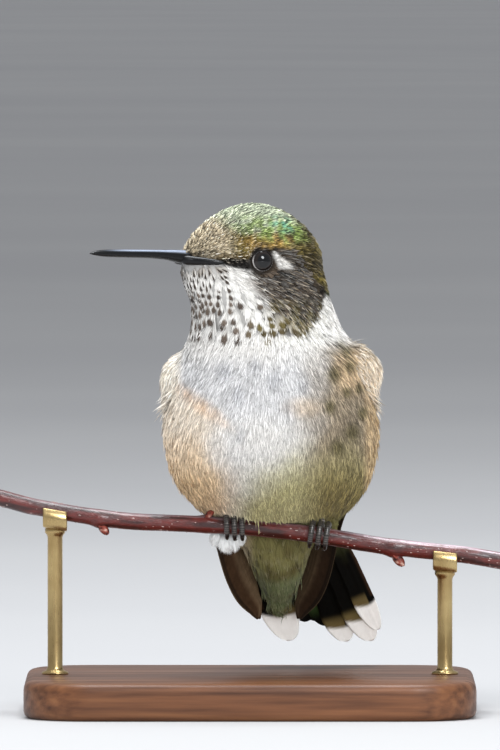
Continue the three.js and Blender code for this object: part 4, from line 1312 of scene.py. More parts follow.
def jaw_colours(points):
    """Black, with a painted highlight, cool and pale, along both sides of the bill's ridge."""
    f, l, h = head_frame(points)
    top, low, half = bill_edges(f)
    # painted highlight: pale on the upper sides, less on the ridge itself, none towards the tip
    sheen = smooth(0.7, 0.94, (h - low) / (top - low)) * (1 - 0.8 * smooth(0.55, 0.3, np.abs(l) / half))
    return blend(rgb(9, 10, 12), rgb(172, 184, 206), sheen * smooth(25.5, 20, f))


def gape(side):
    """The bare edge of the gape, running back under the lores."""
    t = np.linspace(0, 1, 30)
    path = on_head(12.2 - 4.4 * t, side * (0.3 + 3.95 * t ** 0.9), 60.62 - 0.46 * t)
    near, out = nearest(path)
    path = path + (near + out * 0.1 - path) * smooth(0.1, 0.45, t)[:, None]
    radii = 0.76 * np.sqrt(np.clip(1 - (2 * t - 1) ** 6, 0.02, 1)) * (1 - 0.62 * t)
    return hose(path, radii)


def bill():
    horn = painted("bill_horn", 0.3, specular=0.32, vary=0.3, scale=1.2, depth=0.01, stretch=(1, 1, 2))
    for name, side in (("bill_upper", 1), ("bill_lower", -1)):
        made = jaw(side)
        piece(name, made, horn, jaw_colours(made[0]), "bill_horn", name)
    for label, side in SIDES.items():
        piece(f"gape_{label}", gape(side), horn, rgb(10, 10, 12), "bill_horn", "bill_lower")


# ---------------------------------------------------------------- eyes

LID_INNER, LID_OUTER, LID_THICKNESS = 1.27, 1.54, 0.35


def eye_frame(side):
    """The eye's axis, its right and its up."""
    axis = eye_axis(side)
    right = unit(np.cross(UP, axis))
    return axis, right, np.cross(axis, right)


def eyeball(side):
    axis, right, up = eye_frame(side)
    lat = np.linspace(0.02, np.pi - 0.02, 48)[:, None]
    lon = circle(64)[None, :]
    bulge = EYE_RADIUS + 0.06 * np.exp(-(lat / 0.45) ** 2)
    ball = bulge[..., None] * (np.cos(lat)[..., None] * axis + (np.sin(lat) * np.cos(lon))[..., None] * right
                               + (np.sin(lat) * np.sin(lon))[..., None] * up)
    made = tube(ball + eye_centre(side))
    reach = np.linalg.norm(off_axis(made[0], side)[1], axis=1)
    return made, layered(rgb(3, 4, 6), (rgb(26, 19, 16), smooth(0.85, 1.0, reach)),
                         (rgb(7, 6, 6), smooth(1.15, 1.3, reach)))


def lid(side):
    """A granular ring, its two folds meeting at the corners."""
    axis, right, up = eye_frame(side)
    reach = np.linspace(LID_INNER, LID_OUTER, 12)[:, None]
    round_eye = circle(120)[None, :]
    fold = np.sin(np.pi * (reach - LID_INNER) / (LID_OUTER - LID_INNER))
    corner = np.exp(-(np.sin(round_eye) / 0.25) ** 2)
    rise = 0.02 + 0.09 * fold ** 0.7 * (1 - 0.35 * corner) + 0.02 * np.cos(26 * round_eye) * fold
    depth = np.sqrt(EYE_RADIUS ** 2 - reach ** 2) + rise
    wide = reach * (1 + 0.05 * corner * smooth(1.3, 1.2, reach))
    top = (eye_centre(side) + depth[..., None] * axis + (wide * np.cos(round_eye))[..., None] * right
           + (wide * np.sin(round_eye))[..., None] * up)
    rings = np.concatenate([top, (top - LID_THICKNESS * axis)[::-1]])
    rows, cols, _ = rings.shape
    k, last = np.arange(cols), (rows - 1) * cols
    close = np.stack([k + last, (k + 1) % cols + last, (k + 1) % cols, k], -1)
    low = smooth(0.7, 0.0, np.sin(round_eye)) * np.exp(-((reach - 1.42) / 0.055) ** 2)
    colours = blend(rgb(24, 21, 20), rgb(196, 192, 190), low * 0.9)
    colours = np.concatenate([colours, colours[::-1]]).reshape(-1, 3)
    return (rings.reshape(-1, 3), [grid_faces(rows, cols, closed=True), close]), colours


def eyes():
    gloss = painted("eye_gloss", 0.03, vary=0.2, scale=1.5, depth=0.0)
    rim = painted("eye_rim", 0.45, specular=0.3, vary=0.3, scale=5, depth=0.03)
    for label, side in SIDES.items():
        made, colours = eyeball(side)
        piece(f"eye_{label}", made, gloss, colours, "eye_gloss", f"eye_{label}")
        made, colours = lid(side)
        piece(f"lid_{label}", made, rim, colours, "eye_gloss", f"eye_{label}")


# ---------------------------------------------------------------- feet

TOE_RADIUS, TARSUS_RADIUS, CLAW_RADIUS, TOE_SPREAD = 0.42, 0.45, 0.27, 1.02
TOE_REACH = TWIG_RADIUS + 0.3 + TOE_RADIUS + 0.05
# each foot's x, and how far its front toes drift along the twig
FEET = {"right": (-2.15, 0.1), "left": (9.45, -0.45)}
LEG_WAY = np.array([0, 0.64, 0.77])


def round_twig(x, angle, distance):
    """A point beside the twig: 0 degrees is behind it, 90 above, 180 in front."""
    x, angle, distance = np.broadcast_arrays(*[np.asarray(v, float) for v in (x, angle, distance)])
    a = np.radians(angle)
    return np.stack([x, distance * np.cos(a), twig_height(x) + distance * np.sin(a)], -1)


def scutes(path, radii, count, lead=0.0, sides=14):
    """A scaled limb and its colours: each scute swells and then steps down to the next; it is near-black, with
    a painted highlight on each swell, strongest on the outer side.
    """
    t = np.linspace(0, 1, len(path))
    swell = np.sin(np.pi * np.clip(((t * count) % 1) * 1.2, 0, 1))[:, None]
    step = 0.8 + 0.34 * swell ** 0.7
    outer = smooth(-0.2, 0.6, np.cos(circle(sides) - lead))
    made = hose(path, radii[:, None] * (1 + (step - 1) * outer), sides)
    # painted highlight on each scute's swell, strongest on the outer side
    painted_highlight = np.concatenate([(swell ** 2 * (0.35 + 0.65 * outer)).ravel(), [0.2, 0.2]])
    return made, blend(rgb(6, 6, 6), rgb(158, 150, 144), painted_highlight)


def toe(at, drift, start, end):
    t = np.linspace(0, 1, 72)
    pads = 0.05 * np.sin(t * np.pi * 3) ** 2
    path = round_twig(at + drift * t, start + (end - start) * t, TOE_REACH - 0.12 - pads)
    return scutes(path, TOE_RADIUS * (1 - 0.2 * t) * 0.98, 12, lead=np.pi / 2)


def claw(at, drift, start, end):
    """A claw that carries on from the end of its toe."""
    t = np.linspace(0, 1, 24)
    angle = end + math.copysign(1, end - start) * (2 + 50 * t)
    path = round_twig(at + drift * (1 + 0.3 * t), angle, TOE_REACH - 0.1 + 0.35 * t - 0.5 * t ** 3)
    radii = CLAW_RADIUS * (1.15 - 0.2 * t) * np.sqrt(np.clip(1 - t ** 2.2, 0.002, 1))
    return hose(path, radii, 12, squash=0.8)


def tarsus(x):
    t = np.linspace(0, 1, 40)
    start = round_twig(x, 90, TOE_REACH - 0.1)
    knuckle = round_twig(x, 83, TOE_REACH + TOE_RADIUS + TARSUS_RADIUS + 0.2)
    path = (start * ((1 - t) ** 2)[:, None] + knuckle * (2 * t * (1 - t))[:, None]
            + (knuckle + 4 * LEG_WAY) * (t ** 2)[:, None])
    return scutes(path, TARSUS_RADIUS * (1.15 - 0.2 * np.sin(np.pi * t)), 8)


def feet():
    scaled = painted("foot_skin", 0.3, specular=0.6, vary=0.35, scale=3.0)
    horn = painted("claw_horn", 0.25, specular=0.6, vary=0.3, depth=0.01, coat=0.2)
    for foot, (x, drift) in FEET.items():
        # for each toe its x, its drift, and the angles where it starts and ends
        toes = {2: (x - TOE_SPREAD, drift, 100, 212), 3: (x, drift, 100, 218),
                4: (x + TOE_SPREAD, drift, 100, 212), 1: (x + 0.1, 0.15, 66, -38)}
        for number, course in toes.items():
            made, colours = toe(*course)
            piece(f"toe_{foot}_{number}", made, scaled, colours, "foot_skin", f"toe_{foot}_{number}")
            piece(f"claw_{foot}_{number}", claw(*course), horn, rgb(24, 21, 20), "claw_horn",
                  f"claw_{foot}_{number}")
        made, colours = tarsus(x)
        piece(f"tarsus_{foot}", made, scaled, colours, "foot_skin", f"tarsus_{foot}")


# ---------------------------------------------------------------- twig

# x, angle round the twig, length and radius
BUDS = [(-20.0, 250, 1.7, 0.8), (19.2, 262, 2.0, 0.9), (-5.9, 112, 1.6, 0.6)]
BARK, BARK_DARK, BARK_PALE = rgb(96, 32, 27), rgb(36, 12, 11), rgb(216, 198, 194)
TWIG_HALF, TWIG_SIDES = 38.0, 40
LENTICELS = 420


def lump(centre, radii, axis, rows, cols):
    """A small rounded lump, long in the direction of axis."""
    axis = unit(np.asarray(axis, float))
    a = unit(np.cross(axis, UP if abs(axis[2]) < 0.9 else LEFTWARD))
    return egg(np.asarray(radii), np.stack([a, np.cross(axis, a), axis], 1), centre, rows, cols)


def twig_swell(x, angle, grid):
    """How much thicker than its radius the twig is: uneven bark, and a swelling at each bud."""
    swell = 0.05 * (noise(grid, 2.2, 3) - 0.5) + 0.05 * (noise(grid, 5.0, 4) - 0.5)
    swell = swell + 0.03 * (noise(grid, 0.6, 6) - 0.5)
    for at, where, _, radius in BUDS:
        facing_bud = np.cos(angle - math.radians(180 - where) + np.pi)[None, :]
        swell = swell + 0.16 * radius * np.exp(-((x[:, None] - at) / 0.9) ** 2) * (1.2 + facing_bud)
    return swell


def stem():
    """The twig and its colours: red bark, mottled darker, with paler streaks on top that are a painted
    highlight.
    """
    x, angle = np.linspace(-TWIG_HALF, TWIG_HALF, 340), circle(TWIG_SIDES)
    grid = np.stack(np.broadcast_arrays(x[:, None], np.cos(angle) * 3, np.sin(angle) * 3), -1)
    path = np.stack([x, 0 * x, twig_height(x)], -1)
    made = hose(path, TWIG_RADIUS * (1 + twig_swell(x, angle, grid)), TWIG_SIDES)
    around = np.concatenate([grid.reshape(-1, 3), grid[0, :1], grid[-1, :1]])
    at = made[0][:, 0]
    outward = unit(made[0] - np.stack([at, 0 * at, twig_height(at)], -1))
    mottle = smooth(0.45, 0.75, noise(around * [0.35, 1, 1], 1.1, 7))
    # painted highlight: pale streaks on the twig's upper side, stronger towards +x
    streak = smooth(0.4, 0.62, noise(around * [0.12, 1.6, 1.6], 0.8, 8)) * smooth(0.45, 0.9, outward[:, 2])
    return made, layered(BARK, (BARK_DARK, mottle * 0.8),
                         (rgb(222, 198, 210), streak * (0.2 + 0.65 * smooth(9, 16, at))))


def cut_end(side):
    """A sawn face with rings round a small pith, and its colours."""
    r = np.linspace(0.03, 1, 12)[:, None] * TWIG_RADIUS * 0.97
    angle = circle(36)[None, :]
    at = side * (TWIG_HALF + 0.05 - 0.04 * (r / TWIG_RADIUS) ** 4) + 0 * angle
    end = twig_height(side * TWIG_HALF)
    face = np.stack([at, r * np.cos(angle), end + r * np.sin(angle)], -1)
    made = tube(np.concatenate([face, face[::-1] - np.array([side * 0.4, 0, 0])]))
    reach = np.hypot(made[0][:, 1], made[0][:, 2] - end)
    return made, layered(rgb(206, 184, 140), (rgb(150, 116, 76), 0.5 + 0.5 * np.sin(reach * 22)),
                         (rgb(120, 84, 54), smooth(0.3, 0.15, reach)), (BARK_DARK, smooth(0.98, 1.06, reach)))


def lenticels():
    """Small pale lumps drawn out along the twig."""
    lumps = []
    for x, where in zip(rng.uniform(-37.5, 37.5, LENTICELS), rng.uniform(0, 360, LENTICELS)):
        size = rng.uniform(0.035, 0.12)
        radii = (size * 0.8, size * 0.6, size * rng.uniform(1, 2.2))
        lumps.append(lump(round_twig(x, where, TWIG_RADIUS * 0.985), radii, (1, 0, -0.1), 6, 8))
    return join(lumps)


def bud(x, where, length, radius):
    """A leaning core with nine scales spiralling round it."""
    a = math.radians(where)
    lean = unit(np.array([0.66, 0.75 * math.cos(a), 0.75 * math.sin(a)]))
    start = round_twig(x, where, TWIG_RADIUS * 0.9)
    side = unit(np.cross(lean, UP))
    over = np.cross(side, lean)
    core = (radius * 0.72, radius * 0.72, length * 0.55)
    lumps = [lump(start + lean * length * 0.45, core, lean, 12, 18)]
    for k in range(9):
        spin = k * 2.4
        off = side * math.cos(spin) + over * math.sin(spin)
        place = start + lean * length * (0.12 + 0.08 * k) + off * radius * (0.5 - 0.035 * k)
        lumps.append(lump(place, (radius * 0.42, radius * 0.2, length * 0.3), lean + off * 0.15, 8, 12))
    return join(lumps)


def twig():
    bark = painted("twig_bark", 0.36, specular=0.55, vary=0.5, depth=0.12, coat=0.35, stretch=(0.4, 1, 1))
    cut = painted("twig_cut", 0.7, specular=0.3, vary=0.2, scale=2.5, depth=0.03)
    scale = painted("twig_bud", 0.5, specular=0.4, vary=0.4, depth=0.05)
    made, colours = stem()
    piece("perch_twig", made, bark, colours, "twig_bark", "perch_twig")
    for label, side in SIDES.items():
        made, colours = cut_end(side)
        piece(f"twig_cut_{label}", made, cut, colours, "twig_bark", "perch_twig")
    made = lenticels()
    colours = blend(BARK_PALE, rgb(150, 96, 78), noise(made[0], 0.9, 11))
    piece("twig_lenticels", made, bark, colours, "twig_bark", "perch_twig")
    for number, shape in enumerate(BUDS, 1):
        made = bud(*shape)
        flaky = noise(made[0], 0.35, 12 + number)
        colours = layered(rgb(132, 56, 42), (BARK_DARK, smooth(0.5, 0.2, flaky)),
                          (rgb(214, 176, 160), smooth(0.66, 0.8, flaky) * 0.8))
        piece(f"twig_bud_{number}", made, scale, colours, "twig_bud", f"twig_bud_{number}")


# ---------------------------------------------------------------- flight feathers


def blade(spine, side, up, low, high, thickness, camber, groove):
    """A long feather: a thin closed vane with its shaft as a ridge, widths low and high to each side.

    Also gives for each point its place along the feather (0..1) and across it (-1..1)."""
    t = np.linspace(-1, 1, 15)[None, :]
    s = np.linspace(0, 1, len(spine))[:, None]
    reach = np.where(t < 0, low[:, None] * t, high[:, None] * t)
    shaft = 0.09 * (1 - 0.7 * s) * np.exp(-(reach / 0.13) ** 2)
    barb = groove * np.sin(2 * np.pi * (s * 34 - np.abs(reach) * 1.1))
    body = camber * (1 - t ** 2)
    thick = thickness * (1 - 0.75 * t ** 2)
    middle = spine[:, None] + reach[..., None] * side[:, None]
    top = middle + (body + thick / 2 + shaft + barb)[..., None] * up[:, None]
    base = middle + (body - thick / 2 - shaft + barb)[..., None] * up[:, None]
    where = np.concatenate([np.stack([s + 0 * t, way + 0 * s], -1) for way in (t, -t)], 1)
    where = np.concatenate([where.reshape(-1, 2), [[0, 0], [1, 0]]])
    return tube(np.concatenate([top, base[:, ::-1]], 1)), where


TAIL_BASE, TAIL_TIP = np.array([5.4, 11.0, 30.8]), np.array([9.9, 20.9, 9.6])
TAIL_AXIS = unit(TAIL_TIP - TAIL_BASE)
TAIL_SIDE = unit(np.array([1.0, 0, 0]) - TAIL_AXIS[0] * TAIL_AXIS)
TAIL_UNDER = -np.cross(TAIL_SIDE, TAIL_AXIS)
# for the left (1) and right side: the feathers' swing in degrees, their lengths and widths from the
# middle pair outward, and how far their roots stand apart
TAIL = {
    1: ([-1.3, 0.2, 3.4, 9.4, 12.6], [22.6, 23.4, 26.1, 26.8, 25.3], [4.8, 4.7, 4.5, 4.3, 3.1], 0.53),
    -1: ([-2.0, -2.8, -4.2, -6.2, -8.0], [22.2, 22.2, 21.7, 23.4, 24.2], [4.8, 4.7, 4.5, 4.3, 5.0], 0.72),
}
TAIL_DARK, TAIL_BROWN, TAIL_OLIVE = rgb(3, 4, 3), rgb(66, 46, 32), rgb(78, 80, 48)
TAIL_WHITE = rgb(252, 251, 248)
# where the white tip starts on each pair; on the two inner pairs there is none
WHITE_FROM = {1: 2, 2: 2, 3: 0.915, 4: 0.87, 5: 0.84}


def rectrix(side, pair):
    """A tail feather, and where its points lie along and across it."""
    swings, lengths, widths, apart = TAIL[side]
    swing, length, width = math.radians(swings[pair - 1]), lengths[pair - 1], widths[pair - 1]
    ahead = TAIL_AXIS * math.cos(swing) + TAIL_SIDE * math.sin(swing)
    across = TAIL_SIDE * math.cos(swing) - TAIL_AXIS * math.sin(swing)
    root = TAIL_BASE + TAIL_SIDE * side * apart * (pair - 0.5) + TAIL_UNDER * (pair - 3) * 0.26
    s = np.linspace(0, 1, 90)
    tip = np.where(s > 0.8, np.sqrt(np.clip(1 - ((s - 0.8) / 0.2005) ** 2, 0.0003, 1)), 1)
    half = width / 2 * (0.3 + 0.7 * np.minimum(1, s / 0.55) ** 1.2) * tip
    ragged = 1 + 0.03 * (noise(np.stack([s * 40, 0 * s + pair, 0 * s + side], -1), 1.0, 20) - 0.5)
    bow = (0.35 * np.sin(np.pi * s) - 0.5 * s ** 3)[:, None] * 0.5
    spine = root + ahead * (s * length)[:, None] + TAIL_UNDER * bow
    if pair == 5:
        swerve = -0.5 * s ** 2 if side > 0 else 1.7 * s ** 4 - np.sin(np.pi * s)
        spine = spine + across * swerve[:, None]
    one = np.ones((len(s), 1))
    outer, inner = 0.8 * half * ragged, 1.15 * half * ragged
    low, high = (inner, outer) if side > 0 else (outer, inner)
    return blade(spine, across * one, -TAIL_UNDER * one, low, high, 0.16, 0.12, 0.008)


def rectrix_colours(side, pair, u, v):
    """Olive at the base, green-black beyond, and white at the tips of the outer three pairs."""
    length, white_from = TAIL[side][1][pair - 1], WHITE_FROM[pair]
    mottle = noise(np.stack([u * length, v * 2, 0 * u + pair + 10 * side], -1), 1.2, 21)
    dark = smooth(0.35, 0.55, u + 0.1 * (mottle - 0.5)) if pair > 2 else smooth(0.78, 0.95, u)
    before_white = smooth(white_from - 0.09, white_from - 0.04, u) * (v < 0.2) * 0.7
    outer_web = smooth(0.55, 0.9, v) * (u < white_from - 0.05) * (0.7 if pair == 5 else 0.3)
    colour = layered(
        TAIL_OLIVE, (rgb(60, 84, 42), smooth(3.2, 1.8, pair)), (TAIL_DARK, dark),
        (rgb(120, 104, 66), before_white),
        (TAIL_WHITE, smooth(white_from - 0.012, white_from + 0.012, u + 0.02 * v * v)),
        (TAIL_BROWN, outer_web),
    )
    return shade(colour, 0.6 * (mottle - 0.5) * (u < white_from - 0.03))


def tail():
    vane = painted("tail_feathers", 0.55, specular=0.15, vary=0.06, scale=2.2, stretch=(1, 1, 0.3))
    for label, side in (("left", 1), ("right", -1)):
        for pair in range(1, 6):
            made, where = rectrix(side, pair)
            colours = rectrix_colours(side, pair, where[:, 0], where[:, 1] * side)
            uv = np.stack([0.5 + 0.45 * where[:, 1], 0.02 + 0.96 * where[:, 0]], -1)
            piece(f"rectrix_{label}_{pair}", made, vane, colours, "tail_feathers", f"tail_{label}_{pair}",
                  uv=uv)


# height, distance out from the middle, and y of the folded wing's two edges
LEADING = np.array([(11.4, 3.3, 16.8), (14, 5.5, 15.3), (17, 6.95, 13.4), (20, 7.8, 11.6), (23, 8.5, 9.9),
                    (26, 9.5, 8.2), (29, 11.1, 6.2), (31, 12.2, 4.9), (36, 13.2, 3.0), (42, 12.6, 0.8)])
TRAILING = np.array([(11.2, 1.6, 17.0), (14, 1.2, 16.2), (17, 2.15, 14.6), (20, 3.25, 13.2), (23, 4.6, 12.2),
                     (26, 6.0, 12.6), (29, 6.6, 13.6), (32, 5.4, 14.8), (36, 4.6, 15.0), (42, 5.4, 13.6)])
# the heights of the flight feathers' tips, from the outermost inward
WING_TIPS = [11.5, 11.6, 12.1, 13.1, 14.6, 17.2, 18.8, 20.3, 21.6, 22.8, 23.6, 24.3, 25.0, 25.7, 26.4, 27.0]
WING_FREE = 29.0
WING_PARTS = ("coverts", "secondaries", "primaries")
# the bird's left wing lies in shade
WING_SHADE = {"left": 0.42, "right": 1}


def wing_line(knots, z, side):
    return np.stack([mid_x(z) + side * curve(z, knots[:, [0, 1]]), curve(z, knots[:, [0, 2]]), z], -1)


def even_out(path, rounds=14):
    """A path with its kinks smoothed away, its ends kept."""
    for _ in range(rounds):
        path = np.concatenate([path[:1], (path[:-2] + 2 * path[1:-1] + path[2:]) / 4, path[-1:]])
    return path


def remex(side, k):
    """The flight feather number k of a folded wing, counted inward, and where its points lie on it."""
    count, s = len(WING_TIPS), np.linspace(0, 1, 110)
    top_z = cover_line(0.8 + 12.8 * (k + 0.5) / count) + 0.4
    z = top_z + (WING_TIPS[k] - top_z) * s
    lead, trail = wing_line(LEADING, z, side), wing_line(TRAILING, z, side)
    chord = np.linalg.norm(trail - lead, axis=1)
    across = unit(trail - lead)
    # below the body the feathers lie folded over one another, and on it they spread over the wing's width
    folded = np.minimum(0.42 + 0.4 * k, np.maximum(chord - 0.45, 0.35 * chord))
    on_body = smooth(WING_FREE - 3, WING_FREE + 3, z)
    place = folded * (1 - on_body) + chord * (k + 0.5) / (count + 0.5) * on_body
    spine = lead + across * place[:, None]
    up = unit(np.cross(across, np.gradient(lead, axis=0)))
    up = up * np.sign(up[:, :1] * side)
    near, out = nearest(spine)
    clearance = ((spine - near) * out).sum(-1)
    spine = spine + up * (-0.33 + 0.042 * k) * (1 - on_body)[:, None]
    # where a feather would sink into the coat, it lies on it, and its root dives under the coverts
    bare = cover_line(spine[:, 1]) - z
    wanted = (0.12 + 0.03 * k) * smooth(1.0, 3.4, bare) - 0.75 * smooth(2.6, 0.4, bare)
    on_coat = ((clearance < wanted) | (bare < 3.4)) & (z > WING_FREE - 5)
    spine = even_out(np.where(on_coat[:, None], near + out * wanted[:, None], spine))
    up = unit(even_out(unit(np.where(on_coat[:, None], out, up))))
    across = unit(np.cross(up, np.gradient(spine, axis=0)))
    across = across * np.sign((across * (trail - lead)).sum(-1, keepdims=True))
    tip = np.where(s > 0.88, np.sqrt(np.clip(1 - ((s - 0.88) / 0.1205) ** 2, 0.0005, 1)), 1)
    low = np.minimum(0.42 if k == 0 else 0.8, np.maximum(place, 0.2)) * tip
    high = np.minimum(2.2, np.maximum(chord - place, 0.2)) * tip
    return blade(spine, across, up, low, high, 0.07, 0.05, 0.006)


def remex_colours(side, k, u, v):
    """Dusky brown with a pale edge and a dark shaft, greener on the inner feathers."""
    streak = noise(np.stack([u * 26, v * 3, 0 * u + k + 20 * side], -1), 1.0, 23)
    colour = layered(rgb(66, 48, 33), (rgb(38, 29, 21), smooth(0.15, -0.5, v)),
                     (rgb(128, 108, 84), smooth(0.55, 1.0, np.abs(v)) * 0.6),
                     (rgb(22, 17, 14), smooth(0.14, 0.05, np.abs(v)) * 0.9),
                     (rgb(80, 92, 50), 0.5 * smooth(6, 14, k)))
    return colour, 0.35 * (streak - 0.5)


def wings():
    """Each wing's flight feathers as one mesh, each feather on its own strip of the bake map."""
    vane = painted("flight_feathers", 0.55, specular=0.2, vary=0.3, stretch=(1, 1, 0.3))
    count = len(WING_TIPS)
    for label, side in (("left", 1), ("right", -1)):
        blades, colours, strips = [], [], []
        for k in range(count):
            made, where = remex(side, k)
            u, v = where.T
            colour, streaks = remex_colours(side, k, u, v)
            blades.append(made)
            colours.append(shade(colour * WING_SHADE[label], streaks))
            strips.append(np.stack([(k + 0.5 + 0.42 * v) / count, 0.02 + 0.96 * u], -1))
        piece(f"wing_{label}_flight", join(blades), vane, np.concatenate(colours), "flight_feathers",
              *[f"wing_{label}_{part}" for part in WING_PARTS], uv=np.concatenate(strips))


# ---------------------------------------------------------------- white down at the right foot

# root, direction, length and radius of each lobe
DOWN_LOBES = [
    ((-4.0, 2.2, 24.2), (-0.36, -0.3, -0.87), 2.6, 0.95), ((-3.2, 1.9, 24.0), (-0.12, -0.4, -0.92), 3.0, 1.0),
    ((-2.3, 1.9, 24.0), (0.1, -0.4, -0.92), 2.9, 1.0), ((-1.7, 2.3, 24.2), (0.28, -0.3, -0.92), 2.3, 0.9),
    ((-2.9, 2.6, 24.0), (0.0, -0.1, -1.0), 3.1, 1.2),
]
DOWN_BARBS, DOWN_STEPS = 520, np.array([0, 0.3, 0.6, 0.85, 1.0])


def lobe(root, way, length, radius):
    """The points of curved barbs from one root to a rounded end, and the tone of each."""
    way = unit(np.array(way, float))
    side = unit(np.cross(way, UP))
    over = np.cross(side, way)
    r, a = np.sqrt(rng.random(DOWN_BARBS)), rng.uniform(0, 2 * np.pi, DOWN_BARBS)
    out = side * np.cos(a)[:, None] + over * np.sin(a)[:, None]
    reach = length * (0.55 + 0.45 * np.sqrt(1 - r ** 2)) * rng.uniform(0.8, 1.1, DOWN_BARBS)
    end = way * reach[:, None] + out * (radius * r)[:, None]
    middle = way * length * 0.4 + out * (radius * 1.25 * r)[:, None]
    u = DOWN_STEPS[None, :, None]
    path = np.array(root) + 2 * u * (1 - u) * middle[:, None] + u * u * end[:, None]
    flat = unit(np.cross(out + 0.4 * rng.standard_normal((DOWN_BARBS, 3)), way))
    half = 0.05 * np.sqrt(np.clip(1 - DOWN_STEPS ** 3, 0, 1))[None, :, None]
    strips = np.stack([path - flat[:, None] * half, path + flat[:, None] * half], 2)
    points = np.concatenate([strips[:, :-1].reshape(DOWN_BARBS, -1, 3), path[:, -1:]], 1)
    return points, np.repeat(rng.uniform(-1, 1, DOWN_BARBS)[:, None], points.shape[1], 1)


def down():
    """Loose lobes of down."""
    lobes = [lobe(*shape) for shape in DOWN_LOBES]
    points, tone = (np.concatenate(values) for values in zip(*lobes))
    count, per = points.shape[:2]
    last = per - 3
    quads = np.array([[k, k + 1, k + 3, k + 2] for k in range(0, last, 2)])
    faces = [repeat_faces(some, count, per) for some in (quads, np.array([[last, last + 1, last + 2]]))]
    colours = shade(rgb(248, 250, 250), 0.08 * tone)
    uv = unwrap(points[:, :1]) + 0 * points[..., :2] + rng.uniform(-1, 1, (count, per, 2)) * BAKE_PATCH / 2
    piece("down_tufts", (clear_of_twig(points.reshape(-1, 3)), faces), PLUMAGE["soft"], colours.reshape(-1, 3),
          "down", *THIGH_NODES, uv=uv.reshape(-1, 2))


# ---------------------------------------------------------------- stand

BASE_LENGTH, BASE_DEPTH, BASE_THICKNESS, BASE_CORNER = 60, 48, 5, 9
ROD_X, ROD_RADIUS = 26, 1.0
SADDLE_DEPTH = 4.4
# height and inset of the base's edge, from its underside to its top
BASE_EDGE = [(0, 0.9), (0.15, 0.45), (0.5, 0.12), (1.0, 0), (3.7, 0), (4.2, 0.08), (4.6, 0.32), (4.85, 0.7),
             (5.0, 1.3)]
# the saddle's rounded ends: place along the twig and inset
SADDLE_RINGS = [(-1.6, 0.14), (-1.5, 0.03), (-1.4, 0), (1.4, 0), (1.5, 0.03), (1.6, 0.14)]
STAND_WOOD, STAND_BRASS = rgb(104, 66, 42), rgb(190, 152, 84)


def base_outline(inset):
    """A rectangle with round corners, drawn in by the inset."""
    quarter = np.linspace(0, np.pi / 2, 14)
    parts = []
    for k, (sx, sy) in enumerate([(1, 1), (-1, 1), (-1, -1), (1, -1)]):
        a = quarter + k * np.pi / 2
        centre = np.array([sx * (BASE_LENGTH / 2 - BASE_CORNER), sy * (BASE_DEPTH / 2 - BASE_CORNER)])
        parts.append(centre + (BASE_CORNER - inset) * np.stack([np.cos(a), np.sin(a)], -1))
    return np.concatenate(parts)


def plinth():
    outlines = [(base_outline(inset), z) for z, inset in BASE_EDGE]
    return tube(np.stack([np.column_stack([outline, np.full(len(outline), z)]) for outline, z in outlines]))


def post(x):
    """A turned rod with a foot on the base and a collar under the saddle."""
    foot, top = BASE_THICKNESS, twig_height(x) - TWIG_RADIUS - 1.2
    profile = [(1.75, foot), (1.8, foot + 0.15), (1.7, foot + 0.35), (1.25, foot + 0.5), (1.1, foot + 0.75),
               (ROD_RADIUS, foot + 1.0), (ROD_RADIUS, top - 1.2), (1.12, top - 0.9), (1.35, top - 0.6),
               (1.35, top - 0.1), (1.25, top)]
    a = circle(40)
    return tube(np.stack([np.stack([x + r * np.cos(a), r * np.sin(a), 0 * a + z], -1) for r, z in profile]))


def cradle(x):
    """A rounded block with a groove that the twig lies in."""
    a = np.linspace(0, 1, 25)
    radius = TWIG_RADIUS + TWIG_CLEARANCE
    cos, sin = np.cos(np.pi * (1 + a)), np.sin(np.pi * (1 + a))
    groove = np.stack([radius * cos, radius * sin + 0.15 * np.abs(np.cos(np.pi * a)) ** 8], -1)
    low, high = -radius - 1.25, 0.15
    block = np.stack([np.sign(cos) * SADDLE_DEPTH / 2 * np.abs(cos) ** 0.35,
                      high + (low - high) * np.abs(np.sin(np.pi * a)) ** 0.35], -1)
    rings = []
    for at, inset in SADDLE_RINGS:
        sect = np.concatenate([block * (1 - inset / 3), groove[::-1] * (1 + inset / 4)])
        height = twig_height(x + at) + sect[:, 1]
        rings.append(np.column_stack([np.full(len(sect), x + at), sect[:, 0], height]))
    rings = np.stack(rings)
    rows, cols, _ = rings.shape
    k = np.arange(len(a) - 1)
    cap_faces = np.stack([k, k + 1, cols - 2 - k, cols - 1 - k], -1)
    faces = [grid_faces(rows, cols, closed=True), cap_faces[:, ::-1], cap_faces + (rows - 1) * cols]
    return rings.reshape(-1, 3), faces


def stand():
    hardwood, metal = wood(), brass()
    piece("stand_plinth", plinth(), hardwood, STAND_WOOD, "stand_wood", "stand_base")
    for label, side in SIDES.items():
        x = side * ROD_X
        piece(f"stand_post_{label}", post(x), metal, STAND_BRASS, "stand_brass", f"stand_rod_{label}")
        piece(f"stand_cradle_{label}", cradle(x), metal, STAND_BRASS, "stand_brass", f"stand_saddle_{label}")


bill()
eyes()
feet()
twig()
tail()
wings()
down()
stand()

# ---------------------------------------------------------------- camera, light and floor

# lengths in metres, but for the floor
ELEVATION, DISTANCE, AIM = math.radians(2), 2.0, Vector((0, 0, 0.04493))
LAMP_AIM = Vector((0, 0, 0.045))
FLOOR_HALF = 20000.0

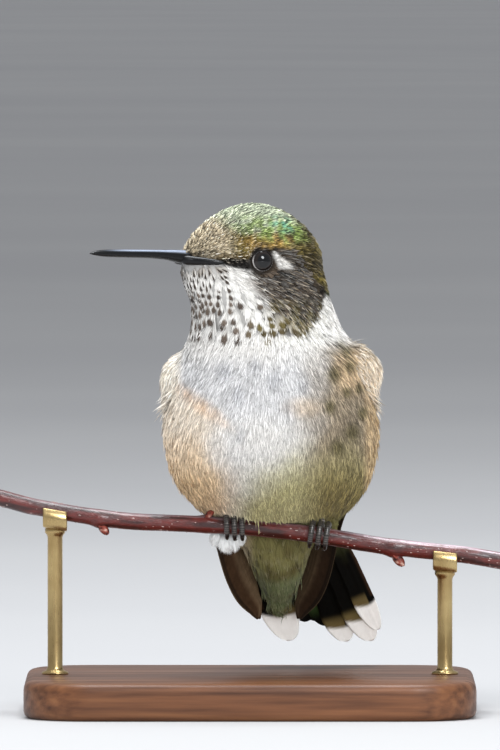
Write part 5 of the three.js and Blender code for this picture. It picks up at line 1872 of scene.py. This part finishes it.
scene = bpy.context.scene
camera = bpy.data.objects.new("camera", bpy.data.cameras.new("camera"))
scene.collection.objects.link(camera)
camera.data.sensor_fit = "VERTICAL"
camera.data.sensor_height = 36
camera.data.lens = 720
camera.data.clip_end = 100
camera.location = AIM + DISTANCE * Vector((0, -math.cos(ELEVATION), math.sin(ELEVATION)))
camera.rotation_euler = (math.radians(90) - ELEVATION, 0, 0)
scene.camera = camera


def lamp(name, place, size, power, colour=(1, 1, 1), glints=True, lights=True):
    """A round lamp turned to the bird; glints says if it shows in gloss, lights if it lights matt surfaces."""
    light = bpy.data.lights.new(name, "AREA")
    light.shape = "DISK"
    light.size = size
    light.energy = power
    light.color = colour
    thing = bpy.data.objects.new(name, light)
    scene.collection.objects.link(thing)
    thing.location = place
    thing.rotation_euler = (LAMP_AIM - Vector(place)).to_track_quat("-Z", "Y").to_euler()
    thing.visible_camera = False
    thing.visible_glossy = glints
    thing.visible_diffuse = lights


lamp("key", (-0.35, -0.5, 0.7), 0.45, 4.7, glints=False)
lamp("window", (0.34, -0.75, 0.62), 0.42, 7.0, (0.94, 0.97, 1.0), lights=False)
lamp("sky", (0.02, 0.12, 0.85), 0.45, 6.6, (0.93, 0.97, 1.0))
lamp("fill", (0.58, -0.73, 0.45), 0.6, 3.2, (1.0, 0.98, 0.95), glints=False)
lamp("front", (0.1, -0.9, 0.04), 0.5, 7.4, glints=False)

world = bpy.data.worlds.new("world")
scene.world = world
world.use_nodes = True
background = world.node_tree.nodes["Background"]
background.inputs["Color"].default_value = (0.80, 0.82, 0.85, 1)
background.inputs["Strength"].default_value = 0.6
scene.view_settings.view_transform = "Standard"

ground = Shader("floor")
ground.set(Base_Color=ground.ramp(ground.grain(0.004), (0.3, rgb(182, 182, 184)), (0.7, rgb(188, 188, 189))),
           Roughness=0.85)
corners = np.array([[-1, -1, 0], [1, -1, 0], [1, 1, 0], [-1, 1, 0]]) * FLOOR_HALF
floor = put("floor", corners, [np.array([[0, 1, 2, 3]])], ground.material)
